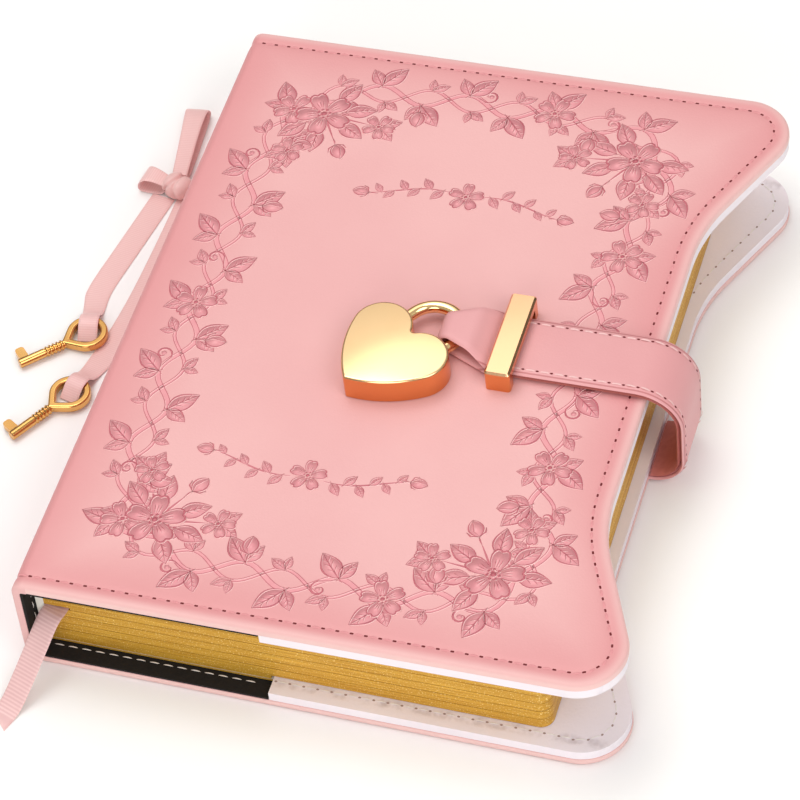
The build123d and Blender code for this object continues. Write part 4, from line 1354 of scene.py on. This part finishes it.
strap_lines = []
for side in (-1, 1):
    points, ups = [], []
    for before, p, after in zip(outer_path, outer_path[1:], outer_path[2:]):
        up = Vector((0, 1, 0)).cross((after - before).normalized())
        if p.x > (SEAM_TO if p.z > SPINE_T else SEAM_FROM):
            from_middle = Vector((0, side * (STRAP_W / 2 - STRAP_SEAM), 0))
            points.append(p + up * (STRAP_T / 2 - SEAM_SINK) + from_middle)
            ups.append(up)
    strap_lines.append((points, ups))
strap_stitch = shifted(lump(SEAM_PITCH - 0.9, 0.5, 0.10, -0.05), SEAM_PITCH / 2)
strap_thread = thread("strap_thread", srgb(230, 180, 180), srgb(246, 210, 208))
strap_seam = seam(
    "strap_seam", strap_lines, strap_stitch, oval(0.8, 0.5, 0.03), strap_thread, needle_hole
)
for made, names in ((strap_outer, ["strap"]), (strap_inner, ["strap_lining"]), (strap_seam, [])):
    fit(made, "diary_base", "strap_leather", *names)
    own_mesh(made)

# Padlock. A heart-shaped case of polished gold with a riveted back plate, a leaf spring
# that catches the shackle, a coil spring that pushes it out, and a bent rod shackle.
spring_steel = Finish("spring_steel")
drawn = spring_steel.noise(spring_steel.place(), 1500.0, 3.0)
spring_steel.surface(Base_Color=spring_steel.mix(drawn, srgb(150, 150, 154), srgb(196, 196, 198)))
spring_steel.surface(Metallic=1.0, Roughness=0.25 + drawn * 0.15)
heart_gold = polished_gold(
    "heart_gold", srgb(255, 218, 168), srgb(251, 209, 154), 0.18, "lock_case", 4.5
)
lock_gold = polished_gold("lock_gold", srgb(255, 219, 162), srgb(252, 211, 150), 0.10)
dress(heart_gold, "lock_case")
dress(lock_gold, "lock_plate", "lock_rivets", "shackle")
dress(spring_steel, "latch_spring", "shackle_spring")

# Key ribbon. A satin ribbon is knotted beside the spine, with two loops, a short end sewn
# to the spine and a tail that goes through the ring of each key. The keys lie on the table.
RIBBON_W = 6.4
RIBBON_T = 0.45
FLAT_Z = RIBBON_T / 2
KNOT = (SPINE_X - 12.5, 58.0)
LOOPS = [
    # name, heading in degrees, length
    ("ribbon_loop_a", 97.0, 27.5), ("ribbon_loop_b", 172.0, 9.5),
]
LOOP_FOOT = 3.05
LOOP_RISE = 4.4
ANCHOR_W = 5.0
KNOT_RINGS = 30
KNOT_SIDES = 40
KNOT_HALF = (3.8, 3.5, 2.65)
KNOT_TURN = radians(-24)
KNOT_SQUARE = 0.8
KNOT_FOLDS = [
    # place along the knot, sway, phase of the sway, depth
    (-0.36, 0.30, 0.4, 0.22), (0.30, 0.26, 3.6, 0.24),
]
FOLD_W = 0.10
RINGS = [(SPINE_X - 19.0, 5.5), (SPINE_X - 16.6, -14.2)]
RING_R = 5.2
RING_IN = 3.4
OVER_Z = 3.15
BRIDGE_W = 5.0
BRIDGE_FADE = 8.0
TAILS = [
    [(SPINE_X - 15.8, 55.6), (SPINE_X - 19.0, 36.0), (SPINE_X - 21.6, 21.0)],
    [(SPINE_X - 9.0, 55.6), (SPINE_X - 9.4, 28.0), (SPINE_X - 11.4, 6.0)],
]
key_gold = polished_gold("key_gold", srgb(240, 192, 120), srgb(208, 148, 80), 0.16)
dress(key_gold, "key_1", "key_2")
key_satin = satin_ribbon("key_satin", srgb(232, 184, 182), srgb(240, 200, 197), 0.6, 0.00002)
knot_satin = grained(
    "knot_satin", 420.0, 3.0, srgb(230, 180, 178), srgb(238, 198, 194), 0.42, 0.0001, 0.6,
    Sheen_Weight=0.25,
)
for loop_name, heading, reach in LOOPS:
    a = radians(heading)
    profile = [
        (LOOP_FOOT, 1.6), (reach * 0.35, FLAT_Z), (reach * 0.8, FLAT_Z), (reach + 0.4, 0.6),
        (reach + 0.6, 2.4), (reach * 0.92, LOOP_RISE), (reach * 0.6, LOOP_RISE), (LOOP_FOOT, 3.4),
    ]
    loop_line = smooth_line([(KNOT[0] + r * cos(a), KNOT[1] + r * sin(a), z) for r, z in profile])
    count = len(loop_line)
    widths = [RIBBON_W * (0.62 + 0.38 * sin(pi * i / (count - 1))) for i in range(count)]
    loop_side = (-sin(a), cos(a), 0)
    loop = ribbon(loop_name + "_satin", loop_line, loop_side, widths, RIBBON_T, key_satin)
    fit(loop, "diary_base", "satin", loop_name)

anchor_route = [(KNOT[0] + 2.0, FLAT_Z), (KNOT[0] + 7.0, FLAT_Z), (SPINE_X - 1.2, FLAT_Z)]
anchor_route += [(SPINE_X - FLAT_Z, z) for z in (1.4, 5.0, 9.0)]
anchor_line = smooth_line([(x, KNOT[1], z) for x, z in anchor_route])
widths = [ANCHOR_W] * len(anchor_line)
anchor = ribbon("ribbon_anchor_satin", anchor_line, (0, 1, 0), widths, RIBBON_T, key_satin)
fit(anchor, "diary_base", "satin", "ribbon_anchor")

knot_points = []
knot_c, knot_s = cos(KNOT_TURN), sin(KNOT_TURN)
for i in range(KNOT_RINGS + 1):
    v = 0.999 * (2 * i / KNOT_RINGS - 1)
    for k in range(KNOT_SIDES):
        u = 2 * pi * k / KNOT_SIDES
        swell = (1 - abs(v) ** 3.2) ** 0.42
        for spot, sway, phase, depth in KNOT_FOLDS:
            swell -= depth * exp(-(((v - spot - sway * sin(u + phase)) / FOLD_W) ** 2))
        swell = max(swell, 0.02)
        round_y, round_z = [copysign(abs(c) ** KNOT_SQUARE, c) for c in (cos(u), sin(u))]
        x = KNOT_HALF[0] * v
        y = KNOT_HALF[1] * swell * round_y
        z = KNOT_HALF[2] * (1 + swell * round_z)
        knot_points.append((KNOT[0] + x * knot_c - y * knot_s, KNOT[1] + x * knot_s + y * knot_c, z))
knot_faces = tube_faces(KNOT_RINGS + 1, KNOT_SIDES)
knot = piece("ribbon_knot_satin", knot_points, knot_faces, knot_satin, 80.0)
fit(knot, "diary_base", "satin", "ribbon_knot")

for number, spots, ring_at in zip("12", TAILS, RINGS):
    last = Vector((*spots[-1], 0))
    to_ring = Vector((*ring_at, 0)) - last
    way = to_ring.length
    climb = way - RING_R - 3.0
    route = [(x, y, FLAT_Z) for x, y in spots]
    steps = [
        (climb * 0.6, FLAT_Z), (climb + 0.8, FLAT_Z + 0.3), (climb + 3.0, OVER_Z),
        (way - RING_IN + 1.2, OVER_Z), (way, 1.2), (way + 1.4, FLAT_Z + 0.1),
    ]
    for reach, z in steps:
        p = last + to_ring.normalized() * reach
        route.append((p.x, p.y, z))
    tail_line = smooth_line(route)
    widths = []
    for p in tail_line:
        near = (p.xy - Vector(ring_at)).length
        share = min(max((near - RING_R - 1.0) / BRIDGE_FADE, 0.0), 1.0)
        widths.append(BRIDGE_W + (RIBBON_W - BRIDGE_W) * share)
    tail = ribbon("key_ribbon_" + number, tail_line, None, widths, RIBBON_T, key_satin)
    fit(tail, "diary_base", "satin", "ribbon_tail_" + number)
    limp_cord(tail_line)
